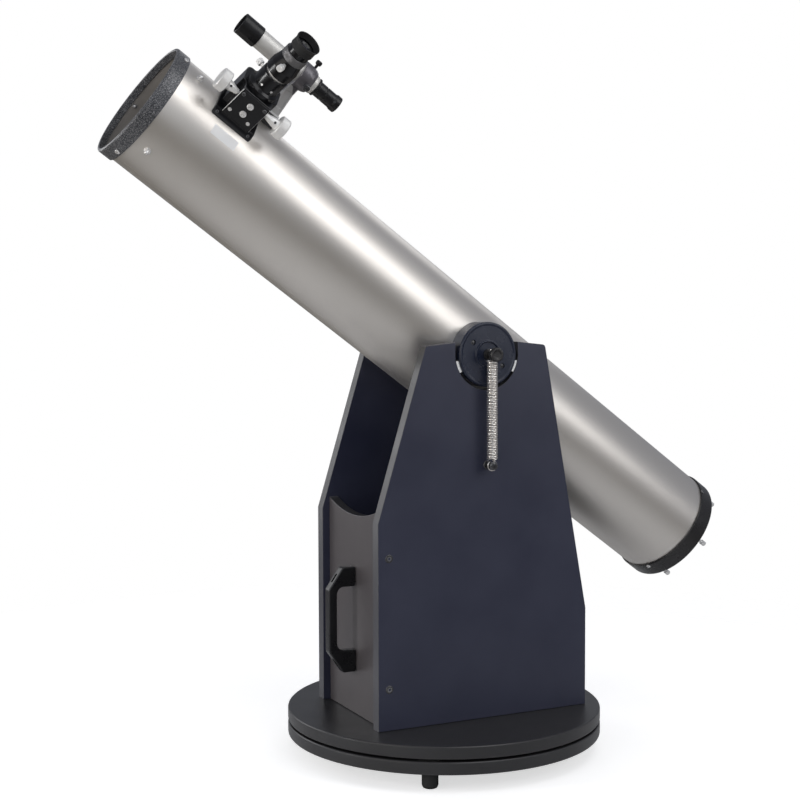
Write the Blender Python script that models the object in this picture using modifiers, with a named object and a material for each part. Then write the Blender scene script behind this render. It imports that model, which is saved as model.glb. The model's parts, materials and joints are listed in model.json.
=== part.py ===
"""Newtonian telescope on a rocker-box (Dobsonian) mount.

Metres, +Z up.  The floor is z = 0, the tube looks towards -X, and the object's
bounding box is centred on x = 0 and y = 0.  The rocker box turns about a vertical
axis on three pads, and the tube tips about the horizontal axis of its side bearings.
"""
import math

import bmesh
import bpy
from mathutils import Matrix, Vector

# ---------------------------------------------------------------- driving dimensions
GAP = 0.0003                    # running gap between neighbouring pieces

TUBE_RADIUS = 0.092             # optical tube, outside
TUBE_WALL = 0.0008
TUBE_ALTITUDE = 36.05           # degrees above the horizon at rest
TUBE_FRONT = 0.632              # tube ends, measured along the tube from the altitude axis
TUBE_REAR = -0.534
RING_RADIUS = 0.095             # end rings, outside
FRONT_RING_FACE = 0.643
FRONT_RING_BACK = 0.620
REAR_RING_FRONT = -0.513
REAR_RING_FACE = -0.542

BASE_RADIUS = 0.256
BOARD = 0.020                   # thickness of the base and side boards
FOOT_HEIGHT = 0.028
BASE_GAP = 0.0035               # between the ground board and the turning board
BOX_HALF_WIDTH = 0.118          # outer face of the side boards
ALTITUDE_X = 0.0158             # altitude axis, measured from the azimuth axis
ALTITUDE_Z = 0.647

BEARING_RADIUS = 0.0505
BEARING_FACE = 0.122            # outer face of the side bearings, from the tube's middle
CRADLE_RADIUS = 0.0555

FOCUSER_STATION = 0.526         # along the tube from the altitude axis
FOCUSER_ROLL = 50.0             # degrees from the tube's top towards -Y
DRAWTUBE_RADIUS = 0.0176
PINION_Y = 0.0215               # pinion shaft, beside the drawtube's axis
PINION_Z = 0.1325               # and above the tube's axis

FINDER_STATION = 0.468
FINDER_ROLL = 20.0
FINDER_HEIGHT = 0.1823          # finder axis above the tube's axis

COLLIMATION_RADIUS = 0.083
COLLIMATION_TIP = -0.561        # ends of the collimation and lock bolts

BASE_SIDES = 60                 # facets of the round pieces, by size
TUBE_SIDES = 48
LARGE_SIDES = 32
SMALL_SIDES = 24
TINY_SIDES = 12

# ---------------------------------------------------------------- derived places
GROUND_TOP = FOOT_HEIGHT + BOARD
TURNTABLE_BOTTOM = GROUND_TOP + BASE_GAP
TURNTABLE_TOP = TURNTABLE_BOTTOM + BOARD
BOX_INNER = BOX_HALF_WIDTH - BOARD
RISE = math.radians(TUBE_ALTITUDE)
FRONT_REACH = ALTITUDE_X - FRONT_RING_FACE * math.cos(RISE) - RING_RADIUS * math.sin(RISE)
BOLT_HEAD_RADIUS = 0.0042
BOLT_ROLL = 35.0
BOLT_UP = COLLIMATION_RADIUS * math.cos(math.radians(BOLT_ROLL)) + BOLT_HEAD_RADIUS
REAR_REACH = ALTITUDE_X - COLLIMATION_TIP * math.cos(RISE) + BOLT_UP * math.sin(RISE)
AZIMUTH_X = -(FRONT_REACH + REAR_REACH) / 2     # centres the bounding box on x = 0


# ---------------------------------------------------------------- scene and materials
def clear_scene():
    """Remove every object that the file starts with."""
    for item in list(bpy.data.objects):
        bpy.data.objects.remove(item, do_unlink=True)


clear_scene()
PARTS = bpy.data.collections.new("dobsonian_telescope")
CUTTERS = bpy.data.collections.new("cutters")
bpy.context.scene.collection.children.link(PARTS)
bpy.context.scene.collection.children.link(CUTTERS)


def material(name, colour, roughness, metallic=0.0):
    """A Principled BSDF material with one colour."""
    made = bpy.data.materials.new(name)
    made.use_nodes = True
    shader = made.node_tree.nodes["Principled BSDF"]
    shader.inputs["Base Color"].default_value = (*colour, 1.0)
    shader.inputs["Roughness"].default_value = roughness
    shader.inputs["Metallic"].default_value = metallic
    return made


TUBE_PAINT = material("tube_paint", (0.52, 0.50, 0.47), 0.35, 0.85)
CRINKLE = material("crinkle_black", (0.045, 0.045, 0.05), 0.6)
LAMINATE = material("black_laminate", (0.018, 0.018, 0.024), 0.45)
BLACK_PLASTIC = material("black_plastic", (0.012, 0.012, 0.014), 0.35)
BLACK_METAL = material("black_metal", (0.014, 0.014, 0.018), 0.3, 0.4)
GREY_METAL = material("grey_metal", (0.24, 0.24, 0.25), 0.4, 0.7)
SILVER = material("silver_metal", (0.75, 0.74, 0.72), 0.3, 0.95)
STEEL = material("spring_steel", (0.62, 0.60, 0.57), 0.25, 1.0)
RUBBER = material("rubber", (0.012, 0.012, 0.012), 0.75)
WHITE_PLASTIC = material("white_plastic", (0.85, 0.85, 0.84), 0.4)
MIRROR = material("mirror", (0.9, 0.9, 0.92), 0.03, 1.0)


# ---------------------------------------------------------------- frames
def empty(name, parent=None, location=(0.0, 0.0, 0.0), turn=None):
    """An empty that carries a group of pieces; turn is its 3x3 rotation."""
    made = bpy.data.objects.new(name, None)
    made.empty_display_size = 0.05
    PARTS.objects.link(made)
    made.parent = parent
    rotation = turn if turn is not None else Matrix.Identity(3)
    made.matrix_local = Matrix.Translation(Vector(location)) @ rotation.to_4x4()
    return made


def tube_station(name, along, roll):
    """A frame on the tube's axis: X to the tube's front, Z outwards at the roll angle."""
    angle = math.radians(roll)
    front = Vector((0.0, 0.0, 1.0))
    outward = Vector((math.cos(angle), -math.sin(angle), 0.0))
    side = outward.cross(front)
    turn = Matrix((front, side, outward)).transposed()
    return empty(name, TUBE_FRAME, (0.0, 0.0, along), turn)


def aim(direction):
    """The 3x3 rotation that turns +Z to the direction."""
    return Vector(direction).normalized().to_track_quat("Z", "Y").to_matrix()


# ---------------------------------------------------------------- making shapes
def add(name, mesh, look, parent, location=(0.0, 0.0, 0.0), turn=None, group=None):
    """An object of the mesh, placed in its parent's frame."""
    made = bpy.data.objects.new(name, mesh)
    (group or PARTS).objects.link(made)
    made.parent = parent
    rotation = turn if turn is not None else Matrix.Identity(3)
    made.matrix_local = Matrix.Translation(Vector(location)) @ rotation.to_4x4()
    if look is not None:
        mesh.materials.append(look)
    return made


def smooth(mesh, degrees=35.0):
    """Smooth shading with sharp edges past the angle."""
    mesh.shade_smooth()
    mesh.set_sharp_from_angle(angle=math.radians(degrees))


def new_mesh(name, build):
    """A mesh made by a bmesh function."""
    mesh = bpy.data.meshes.new(name)
    work = bmesh.new()
    build(work)
    work.to_mesh(mesh)
    work.free()
    return mesh


def box(name, size, look, parent, centre=(0.0, 0.0, 0.0), turn=None, rounding=0.0, group=None):
    """A box of the size about its centre, with its edges rounded off."""
    def build(work):
        bmesh.ops.create_cube(work, size=1.0)
        bmesh.ops.scale(work, vec=size, verts=work.verts)
    made = add(name, new_mesh(name, build), look, parent, centre, turn, group)
    if rounding > 0.0:
        bevel(made, rounding)
    return made


def cylinder(name, radius, low, high, look, parent, location=(0.0, 0.0, 0.0), turn=None,
             sides=SMALL_SIDES, top_radius=None, group=None):
    """A cylinder or cone along its own Z, from low to high."""
    def build(work):
        upper = radius if top_radius is None else top_radius
        bmesh.ops.create_cone(work, cap_ends=True, segments=sides, radius1=radius, radius2=upper,
                              depth=high - low)
        bmesh.ops.translate(work, vec=(0.0, 0.0, (low + high) / 2), verts=work.verts)
    made = add(name, new_mesh(name, build), look, parent, location, turn, group)
    smooth(made.data)
    return made


def turned(name, profile, look, parent, location=(0.0, 0.0, 0.0), turn=None, sides=SMALL_SIDES,
           closed=False, group=None):
    """A turned piece about its own Z.  The profile's (radius, z) points run down its outer
    side, from top to bottom; a closed profile returns up its inner side."""
    def build(work):
        points = [work.verts.new((radius, 0.0, z)) for radius, z in profile]
        for upper, lower in zip(points, points[1:]):
            work.edges.new((upper, lower))
        if closed:
            work.edges.new((points[-1], points[0]))
    made = add(name, new_mesh(name, build), look, parent, location, turn, group)
    screw = made.modifiers.new("turn", "SCREW")
    screw.steps = sides
    screw.render_steps = sides
    screw.use_merge_vertices = True
    screw.merge_threshold = 0.00001
    screw.use_smooth_shade = True
    return made


def ring_profile(outer, inner, low, high, ease=0.0):
    """A closed profile of a plain ring, with its outer edges eased."""
    return [(outer - ease, high), (outer, high - ease), (outer, low + ease), (outer - ease, low),
            (inner, low), (inner, high)]


def ring(name, outer, inner, low, high, look, parent, ease=0.0, **place):
    """A plain turned ring."""
    profile = ring_profile(outer, inner, low, high, ease)
    if ease == 0.0:
        profile = [(outer, high), (outer, low), (inner, low), (inner, high)]
    return turned(name, profile, look, parent, closed=True, **place)


def plate(name, outline, thickness, look, parent, location=(0.0, 0.0, 0.0), turn=None,
          rounding=0.0, group=None):
    """A flat outline in the piece's XY plane, extruded both ways along Z."""
    curve = bpy.data.curves.new(name, "CURVE")
    curve.dimensions = "2D"
    curve.fill_mode = "BOTH"
    curve.extrude = thickness / 2
    spline = curve.splines.new("POLY")
    spline.points.add(len(outline) - 1)
    for point, (x, y) in zip(spline.points, outline):
        point.co = (x, y, 0.0, 1.0)
    spline.use_cyclic_u = True
    guide = bpy.data.objects.new(name + "_outline", curve)
    CUTTERS.objects.link(guide)
    bpy.context.view_layer.update()
    evaluated = guide.evaluated_get(bpy.context.evaluated_depsgraph_get())
    mesh = bpy.data.meshes.new_from_object(evaluated)
    work = bmesh.new()
    work.from_mesh(mesh)
    bmesh.ops.remove_doubles(work, verts=work.verts, dist=0.000001)
    bmesh.ops.recalc_face_normals(work, faces=work.faces)
    work.to_mesh(mesh)
    work.free()
    mesh.materials.clear()
    bpy.data.objects.remove(guide, do_unlink=True)
    made = add(name, mesh, look, parent, location, turn, group)
    if rounding > 0.0:
        bevel(made, rounding)
    return made


def bevel(piece, width, segments=1, angle=40.0):
    """Round the piece's sharp edges."""
    made = piece.modifiers.new("ease", "BEVEL")
    made.width = width
    made.segments = segments
    made.limit_method = "ANGLE"
    made.angle_limit = math.radians(angle)


def hide_tool(tool):
    """A cutter shows as wire and is never part of the object."""
    tool.hide_render = True
    tool.display_type = "WIRE"


def combine(piece, tool, operation):
    """A Boolean modifier of the tool on the piece."""
    hide_tool(tool)
    made = piece.modifiers.new(operation.lower(), "BOOLEAN")
    made.operation = operation
    made.object = tool
    made.solver = "EXACT"


def cut(piece, tool):
    combine(piece, tool, "DIFFERENCE")


def join(piece, tool):
    combine(piece, tool, "UNION")


def cut_hole(piece, radius, low, high, parent, location=(0.0, 0.0, 0.0), turn=None,
             sides=SMALL_SIDES):
    """Drill the piece along the tool's own Z."""
    tool = cylinder(piece.name + "_drill", radius, low, high, None, parent, location, turn,
                    sides=sides, group=CUTTERS)
    cut(piece, tool)


def cut_box(piece, size, parent, centre, turn=None):
    """Cut a box out of the piece."""
    cut(piece, box(piece.name + "_slot", size, None, parent, centre, turn, group=CUTTERS))


def join_box(piece, size, parent, centre, turn=None):
    """Join a box to the piece."""
    join(piece, box(piece.name + "_block", size, None, parent, centre, turn, group=CUTTERS))


def join_cylinder(piece, radius, low, high, parent, location=(0.0, 0.0, 0.0), turn=None,
                  sides=SMALL_SIDES, top_radius=None):
    """Join a cylinder or cone to the piece."""
    join(piece, cylinder(piece.name + "_boss", radius, low, high, None, parent, location, turn,
                         sides=sides, top_radius=top_radius, group=CUTTERS))


def arc(centre, radius, start, end, steps):
    """Points on an arc, from the start angle to the end angle in degrees."""
    points = []
    for step in range(steps + 1):
        angle = math.radians(start + (end - start) * step / steps)
        points.append((centre[0] + radius * math.cos(angle), centre[1] + radius * math.sin(angle)))
    return points


def rounded_rectangle(width, height, radius, steps=4):
    """The outline of a rectangle with round corners, about its centre."""
    x = width / 2 - radius
    y = height / 2 - radius
    corners = [((x, -y), -90), ((x, y), 0), ((-x, y), 90), ((-x, -y), 180)]
    outline = []
    for centre, start in corners:
        outline += arc(centre, radius, start, start + 90, steps)
    return outline


# ---------------------------------------------------------------- the three bodies' frames
ORIGIN = empty("azimuth_axis", location=(AZIMUTH_X, 0.0, 0.0))
ALTITUDE = empty("altitude_axis", ORIGIN, (ALTITUDE_X, 0.0, ALTITUDE_Z))
TILT = Matrix.Rotation(RISE - math.pi / 2, 3, "Y")
TUBE_FRAME = empty("tube_axis", ALTITUDE, (0.0, 0.0, 0.0), TILT)   # Z along the tube, X its top
FOCUSER = tube_station("focuser_axis", FOCUSER_STATION, FOCUSER_ROLL)
FINDER = tube_station("finder_station", FINDER_STATION, FINDER_ROLL)
UPRIGHT = Matrix.Rotation(math.pi / 2, 3, "X")      # a plate's XY outline stands in XZ
ALONG_X = Matrix.Rotation(math.pi / 2, 3, "Y")      # a piece's own Z points along +X
SIDES = {"left": -1.0, "right": 1.0}                # as seen from behind the telescope


def outwards(side):
    """The rotation that turns a piece's own Z to the side's outward direction."""
    return aim((0.0, side, 0.0))


# ---------------------------------------------------------------- ground board
FOOT_CIRCLE = 0.225
FOOT_AZIMUTHS = (-122.7, -2.7, 117.3)
FOOT_RADIUS = 0.0135
PIVOT_RADIUS = 0.004
EDGE_EASE = 0.0025


def around(radius, degrees):
    """The point at a radius and azimuth about the azimuth axis."""
    angle = math.radians(degrees)
    return radius * math.cos(angle), radius * math.sin(angle)


def make_ground_board():
    ring("ground_board", BASE_RADIUS, PIVOT_RADIUS + GAP, FOOT_HEIGHT, GROUND_TOP, LAMINATE,
         ORIGIN, ease=EDGE_EASE, sides=BASE_SIDES)


def make_foot(number, azimuth):
    x, y = around(FOOT_CIRCLE, azimuth)
    top = FOOT_HEIGHT - GAP
    profile = [(0.0, top), (FOOT_RADIUS, top), (FOOT_RADIUS - 0.0008, 0.005),
               (FOOT_RADIUS - 0.0025, 0.0012), (FOOT_RADIUS - 0.005, 0.0), (0.0, 0.0)]
    turned("foot_%d" % number, profile, RUBBER, ORIGIN, location=(x, y, 0.0), sides=16)


def make_azimuth_pad(number, azimuth):
    x, y = around(FOOT_CIRCLE, azimuth)
    thickness = BASE_GAP - 2 * GAP
    box("azimuth_pad_%d" % number, (0.022, 0.034, thickness), WHITE_PLASTIC, ORIGIN,
        (x, y, GROUND_TOP + GAP + thickness / 2), Matrix.Rotation(math.radians(azimuth), 3, "Z"))


def make_pivot():
    """A hexagon bolt up through both boards, with its washer and lock nut on top."""
    head_top = FOOT_HEIGHT - GAP
    bolt = cylinder("pivot_bolt", PIVOT_RADIUS, head_top - 0.001, TURNTABLE_TOP + 0.012, BLACK_METAL,
                    ORIGIN, sides=TINY_SIDES)
    join_cylinder(bolt, 0.0075, head_top - 0.0065, head_top, ORIGIN, sides=6)
    bottom = TURNTABLE_TOP + GAP
    nut = cylinder("pivot_nut", 0.0075, bottom + 0.001, bottom + 0.009, SILVER, ORIGIN, sides=6)
    join_cylinder(nut, 0.012, bottom, bottom + 0.0016, ORIGIN, sides=24)
    cut_hole(nut, PIVOT_RADIUS + GAP, bottom - 0.01, bottom + 0.02, ORIGIN, sides=TINY_SIDES)


# ---------------------------------------------------------------- rocker box
SIDE_BOTTOM = TURNTABLE_TOP + GAP
SIDE_FRONT = -0.173
SIDE_REAR = 0.200
FRONT_KINK_Z = 0.3915
REAR_KINK_Z = 0.2305
SHOULDER_FRONT = -0.0925
SHOULDER_REAR = 0.1225
SHOULDER_Z = 0.6612
RIM_Z = 0.666                   # top of the board beside the cradle
CORNER_RADIUS = 0.006
FRONT_BOARD_FACE = -0.161
FRONT_BOARD = 0.016
FRONT_BOARD_LOW = 0.392         # lowest point of its curved top edge
FRONT_BOARD_SAG = 0.018
PAD_ANGLE = 21.0                # cradle pads, below the horizontal through the axis
PAD_HALF_ANGLE = 10.0


def make_turntable():
    ring("azimuth_board", BASE_RADIUS, PIVOT_RADIUS + GAP, TURNTABLE_BOTTOM, TURNTABLE_TOP,
         LAMINATE, ORIGIN, ease=EDGE_EASE, sides=BASE_SIDES)


def side_outline():
    """The side board in X and Z: a tapered board with a round cradle in its top edge."""
    rear_corner = (SHOULDER_REAR - CORNER_RADIUS, SHOULDER_Z - CORNER_RADIUS)
    front_corner = (SHOULDER_FRONT + CORNER_RADIUS, SHOULDER_Z - CORNER_RADIUS)
    outline = [(SIDE_FRONT, SIDE_BOTTOM), (SIDE_REAR, SIDE_BOTTOM), (SIDE_REAR, REAR_KINK_Z)]
    outline += arc(rear_corner, CORNER_RADIUS, 10, 85, 3)
    outline += [(ALTITUDE_X + CRADLE_RADIUS, RIM_Z)]
    outline += arc((ALTITUDE_X, ALTITUDE_Z), CRADLE_RADIUS, 0, -180, 20)
    outline += [(ALTITUDE_X - CRADLE_RADIUS, RIM_Z)]
    outline += arc(front_corner, CORNER_RADIUS, 95, 165, 3)
    outline += [(SIDE_FRONT, FRONT_KINK_Z)]
    return outline


def make_side_board(name, side):
    middle = side * (BOX_HALF_WIDTH - BOARD / 2)
    plate("side_board_" + name, side_outline(), BOARD, LAMINATE, ORIGIN, (0.0, middle, 0.0),
          UPRIGHT, rounding=0.0008)


def make_front_board():
    half = BOX_INNER - GAP
    sag_radius = (half ** 2 + FRONT_BOARD_SAG ** 2) / (2 * FRONT_BOARD_SAG)
    reach = math.degrees(math.asin(half / sag_radius))
    outline = [(-half, SIDE_BOTTOM), (half, SIDE_BOTTOM)]
    outline += arc((0.0, FRONT_BOARD_LOW + sag_radius), sag_radius, -90 + reach, -90 - reach, 14)
    across = Matrix.Rotation(math.pi / 2, 3, "Z") @ UPRIGHT     # outline X runs along +Y
    plate("front_board", outline, FRONT_BOARD, LAMINATE, ORIGIN,
          (FRONT_BOARD_FACE + FRONT_BOARD / 2, 0.0, 0.0), across, rounding=0.0006)


def make_cradle_pad(name, side, end, sign):
    """A slippery pad let into the cradle, which the side bearing turns on."""
    centre = (ALTITUDE_X, ALTITUDE_Z)
    middle = -PAD_ANGLE if sign > 0 else 180.0 + PAD_ANGLE
    low = middle - PAD_HALF_ANGLE
    high = middle + PAD_HALF_ANGLE
    outline = arc(centre, CRADLE_RADIUS - GAP, low, high, 6)
    outline += arc(centre, BEARING_RADIUS + GAP, high, low, 6)
    middle_y = side * (BOX_HALF_WIDTH - BOARD / 2)
    plate("cradle_pad_%s_%s" % (name, end), outline, BOARD - 0.001, WHITE_PLASTIC, ORIGIN,
          (0.0, middle_y, 0.0), UPRIGHT)


# ---------------------------------------------------------------- carrying handle
HANDLE_REACH = 0.0465           # from the front board to the grip's outer face
HANDLE_WIDTH = 0.0166
HANDLE_LOW = 0.1407
HANDLE_HIGH = 0.3095
GRIP_LOW = 0.176
GRIP_HIGH = 0.2755
GRIP_DEPTH = 0.0142


def make_handle():
    """A straight grip on two feet, with long chamfers at its corners."""
    board = FRONT_BOARD_FACE - GAP
    outer = FRONT_BOARD_FACE - HANDLE_REACH
    inner = outer + GRIP_DEPTH
    knee = outer + 0.024
    outline = [(board, HANDLE_LOW), (board, GRIP_LOW), (inner + 0.009, GRIP_LOW + 0.001)]
    outline += [(inner + 0.003, GRIP_LOW + 0.004), (inner, GRIP_LOW + 0.011)]
    outline += [(inner, GRIP_HIGH - 0.008), (inner + 0.003, GRIP_HIGH)]
    outline += [(inner + 0.009, GRIP_HIGH + 0.003), (board, GRIP_HIGH + 0.003)]
    outline += [(board, HANDLE_HIGH), (knee, HANDLE_HIGH), (outer, GRIP_HIGH), (outer, GRIP_LOW)]
    outline += [(knee + 0.001, HANDLE_LOW)]
    outline.reverse()
    handle = plate("carry_handle", outline, HANDLE_WIDTH, BLACK_PLASTIC, ORIGIN, (0.0, 0.0, 0.0),
                   UPRIGHT, rounding=0.0016)
    slot_depth = 0.030
    for height in (HANDLE_LOW + 0.0165, HANDLE_HIGH - 0.0165):
        centre = (board - 0.010 - slot_depth / 2, 0.0, height)
        cut_box(handle, (slot_depth, 0.0052, 0.013), ORIGIN, centre)


# ---------------------------------------------------------------- tension springs
SPRING_PLANE = 0.1350           # the spring's middle, from the tube's middle
SPRING_RADIUS = 0.0088
WIRE_RADIUS = 0.0011
ANCHOR_Z = 0.474
LOOP_RADIUS = SPRING_RADIUS - WIRE_RADIUS


def make_spring_anchor(name, side):
    """A long screw in the side board that holds the spring's lower end."""
    start = BOX_HALF_WIDTH + GAP
    profile = [(0.0, 0.1425), (0.0045, 0.1420), (0.0068, 0.1404), (0.0068, 0.1388), (0.0038, 0.1382),
               (0.0038, start + 0.003), (0.007, start + 0.003), (0.007, start), (0.0, start)]
    turned("spring_anchor_" + name, profile, BLACK_METAL, ORIGIN,
           location=(ALTITUDE_X, 0.0, ANCHOR_Z), turn=outwards(side), sides=16)


def loop(name, parent, location):
    """A closed loop of the spring's wire, standing in XZ."""
    def build(work):
        profile_steps = 5
        for step in range(profile_steps):
            angle = 2 * math.pi * step / profile_steps
            work.verts.new((LOOP_RADIUS + WIRE_RADIUS * math.cos(angle), 0.0,
                            WIRE_RADIUS * math.sin(-angle)))
        work.verts.ensure_lookup_table()
        for step in range(profile_steps):
            work.edges.new((work.verts[step], work.verts[(step + 1) % profile_steps]))
    made = add(name, new_mesh(name, build), None, parent, location, UPRIGHT, CUTTERS)
    screw = made.modifiers.new("turn", "SCREW")
    screw.steps = 16
    screw.render_steps = 16
    screw.use_merge_vertices = True
    screw.merge_threshold = 0.00001
    return made


def make_spring(name, side):
    """The close-coiled spring's outer shape, hooked over the post and the anchor."""
    low = ANCHOR_Z + LOOP_RADIUS
    high = ALTITUDE_Z - LOOP_RADIUS
    y = side * SPRING_PLANE
    spring = cylinder("tension_spring_" + name, SPRING_RADIUS, low, high, STEEL, ORIGIN,
                      (ALTITUDE_X, y, 0.0), sides=TINY_SIDES)
    for height in (ANCHOR_Z, ALTITUDE_Z):
        join(spring, loop(spring.name + "_hook", ORIGIN, (ALTITUDE_X, y, height)))


# ---------------------------------------------------------------- optical tube
def make_tube():
    tube = ring("optical_tube", TUBE_RADIUS, TUBE_RADIUS - TUBE_WALL, TUBE_REAR, TUBE_FRONT,
                TUBE_PAINT, TUBE_FRAME, sides=TUBE_SIDES)
    cut_hole(tube, 0.0235, 0.05, 0.12, FOCUSER)


def make_front_ring():
    """The front end ring: a skirt over the tube and a lip in front of it."""
    skirt = TUBE_RADIUS + GAP
    lip = 0.0895
    profile = [(RING_RADIUS - 0.003, FRONT_RING_FACE), (RING_RADIUS - 0.0008, FRONT_RING_FACE - 0.001),
               (RING_RADIUS, FRONT_RING_FACE - 0.003), (RING_RADIUS, FRONT_RING_BACK + 0.0006),
               (RING_RADIUS - 0.0006, FRONT_RING_BACK), (skirt, FRONT_RING_BACK),
               (skirt, TUBE_FRONT + GAP), (lip, TUBE_FRONT + GAP), (lip, FRONT_RING_FACE - 0.001),
               (lip + 0.001, FRONT_RING_FACE)]
    turned("front_ring", profile, CRINKLE, TUBE_FRAME, sides=TUBE_SIDES, closed=True)


# ---------------------------------------------------------------- primary mirror and cell
CELL_BACK = -0.5405
CELL_FRONT = -0.5345
CELL_HOLE = 0.056               # radius of the back plate's open middle
MIRROR_RADIUS = 0.076
MIRROR_BACK = -0.512
MIRROR_FRONT = -0.489
MIRROR_HOLLOW = 0.0012          # depth of the concave face
BOLT_RADIUS = 0.003


def bolt_place(number):
    """The centre of one of the six cell bolts, across the tube's axis."""
    angle = math.radians(BOLT_ROLL + 60.0 * number)
    return COLLIMATION_RADIUS * math.cos(angle), -COLLIMATION_RADIUS * math.sin(angle)


def make_rear_ring():
    """The rear end ring: a skirt over the tube, and a back plate that is the fixed half of
    the mirror cell, with an open middle and a bore for each of the six bolts."""
    skirt = TUBE_RADIUS + GAP
    rim = 0.0880
    profile = [(RING_RADIUS - 0.0006, REAR_RING_FRONT), (RING_RADIUS, REAR_RING_FRONT - 0.0006),
               (RING_RADIUS, REAR_RING_FACE + 0.003), (RING_RADIUS - 0.0008, REAR_RING_FACE + 0.001),
               (RING_RADIUS - 0.003, REAR_RING_FACE), (rim + 0.001, REAR_RING_FACE), (rim, CELL_BACK),
               (CELL_HOLE, CELL_BACK), (CELL_HOLE, CELL_FRONT), (skirt, CELL_FRONT),
               (skirt, REAR_RING_FRONT)]
    back = turned("rear_ring", profile, CRINKLE, TUBE_FRAME, sides=TUBE_SIDES, closed=True)
    for number in range(6):
        x, y = bolt_place(number)
        cut_hole(back, BOLT_RADIUS + GAP, CELL_BACK - 0.01, CELL_FRONT + 0.01, TUBE_FRAME,
                 (x, y, 0.0), sides=TINY_SIDES)


def make_mirror_plate():
    """The floating plate that carries the mirror and takes the bolts' front ends."""
    plate_back = -0.5235
    plate_front = -0.5165
    carrier = cylinder("mirror_carrier", 0.0905, plate_back, plate_front, BLACK_METAL, TUBE_FRAME,
                       sides=LARGE_SIDES)
    cut_hole(carrier, 0.022, plate_back - 0.01, plate_front + 0.01, TUBE_FRAME, sides=24)
    for number in range(3):
        angle = math.radians(BOLT_ROLL + 60.0 + 120.0 * number)
        centre = (0.048 * math.cos(angle), -0.048 * math.sin(angle), 0.0)
        cut_hole(carrier, 0.016, plate_back - 0.01, plate_front + 0.01, TUBE_FRAME, centre, sides=16)


def make_primary_mirror():
    rim = MIRROR_FRONT
    profile = [(0.0, rim - MIRROR_HOLLOW), (MIRROR_RADIUS * 0.5, rim - MIRROR_HOLLOW * 0.75),
               (MIRROR_RADIUS - 0.001, rim), (MIRROR_RADIUS, rim - 0.001), (MIRROR_RADIUS, MIRROR_BACK),
               (0.0, MIRROR_BACK)]
    turned("primary_mirror", profile, MIRROR, TUBE_FRAME, sides=LARGE_SIDES)


def make_cell_bolts():
    """Three collimation bolts and, between them, three lock bolts."""
    for number in range(6):
        kind = "collimation_bolt" if number % 2 == 0 else "lock_bolt"
        x, y = bolt_place(number)
        tip = COLLIMATION_TIP
        head_front = tip + 0.0085
        profile = [(0.0, -0.5240), (BOLT_RADIUS, -0.5240), (BOLT_RADIUS, head_front),
                   (BOLT_HEAD_RADIUS, head_front - 0.0006), (BOLT_HEAD_RADIUS, tip + 0.0006),
                   (BOLT_HEAD_RADIUS - 0.0008, tip), (0.0, tip)]
        turned("%s_%d" % (kind, number // 2 + 1), profile, SILVER, TUBE_FRAME,
               location=(x, y, 0.0), sides=TINY_SIDES)


# ---------------------------------------------------------------- spider and secondary mirror
SPIDER_STATION = 0.598
SPIDER_ROLL = 47.75
VANE_DEPTH = 0.022
VANE_THICKNESS = 0.0012
HUB_RADIUS = 0.013
SECONDARY_RADIUS = 0.0185


def make_spider():
    """Four thin vanes from the tube's wall to a hub on its axis."""
    spider = cylinder("spider", HUB_RADIUS, SPIDER_STATION - 0.014, SPIDER_STATION + 0.014, BLACK_METAL,
                      TUBE_FRAME, sides=24)
    length = 2 * (TUBE_RADIUS - TUBE_WALL - 2 * GAP)
    for roll in (SPIDER_ROLL, SPIDER_ROLL + 90.0):
        turn = Matrix.Rotation(math.radians(-roll), 3, "Z")
        join_box(spider, (length, VANE_THICKNESS, VANE_DEPTH), TUBE_FRAME, (0.0, 0.0, SPIDER_STATION), turn)


def make_secondary():
    """The holder behind the hub, cut at 45 degrees towards the focuser, and its flat mirror."""
    slope = FOCUSER.matrix_local.to_3x3() @ Matrix.Rotation(math.radians(45.0), 3, "Y")
    facing = slope @ Vector((-1.0, 0.0, 0.0))
    holder = cylinder("secondary_holder", 0.0165, FOCUSER_STATION - 0.030, SPIDER_STATION - 0.030,
                      BLACK_METAL, TUBE_FRAME, sides=24)
    join_cylinder(holder, 0.008, SPIDER_STATION - 0.032, SPIDER_STATION - 0.014 - GAP, TUBE_FRAME,
                  sides=TINY_SIDES)
    thickness = 0.006
    middle = Vector((0.0, 0.0, FOCUSER_STATION))
    half = 0.05
    block = Vector(middle) + facing * (half - thickness - GAP)
    turn = aim(facing)
    cut_box(holder, (0.2, 0.2, 2 * half), TUBE_FRAME, block, turn)
    mirror = cylinder("secondary_mirror", SECONDARY_RADIUS, FOCUSER_STATION - 0.04,
                      FOCUSER_STATION + 0.04, MIRROR, TUBE_FRAME)
    slab = box("secondary_mirror_slab", (0.2, 0.2, thickness), None, TUBE_FRAME,
               middle - facing * (thickness / 2), turn, group=CUTTERS)
    combine(mirror, slab, "INTERSECT")


# ---------------------------------------------------------------- side bearings
def make_side_bearing(name, side):
    """A round cup bearing, scooped out to sit on the tube's side."""
    face = BEARING_FACE
    radius = BEARING_RADIUS
    profile = [(0.0, face - 0.001), (0.0185, face - 0.001), (0.0195, face + 0.0012),
               (0.0215, face + 0.0012), (0.0225, face - 0.001), (radius - 0.0055, face - 0.001),
               (radius - 0.0040, face), (radius - 0.0015, face), (radius, face - 0.002),
               (radius, 0.080), (0.0, 0.080)]
    bearing = turned("side_bearing_" + name, profile, BLACK_PLASTIC, ALTITUDE,
                     turn=outwards(side), sides=LARGE_SIDES)
    scoop = cylinder(bearing.name + "_scoop", TUBE_RADIUS + GAP, -0.1, 0.1, None, TUBE_FRAME,
                     sides=TUBE_SIDES, group=CUTTERS)
    cut(bearing, scoop)


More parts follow.
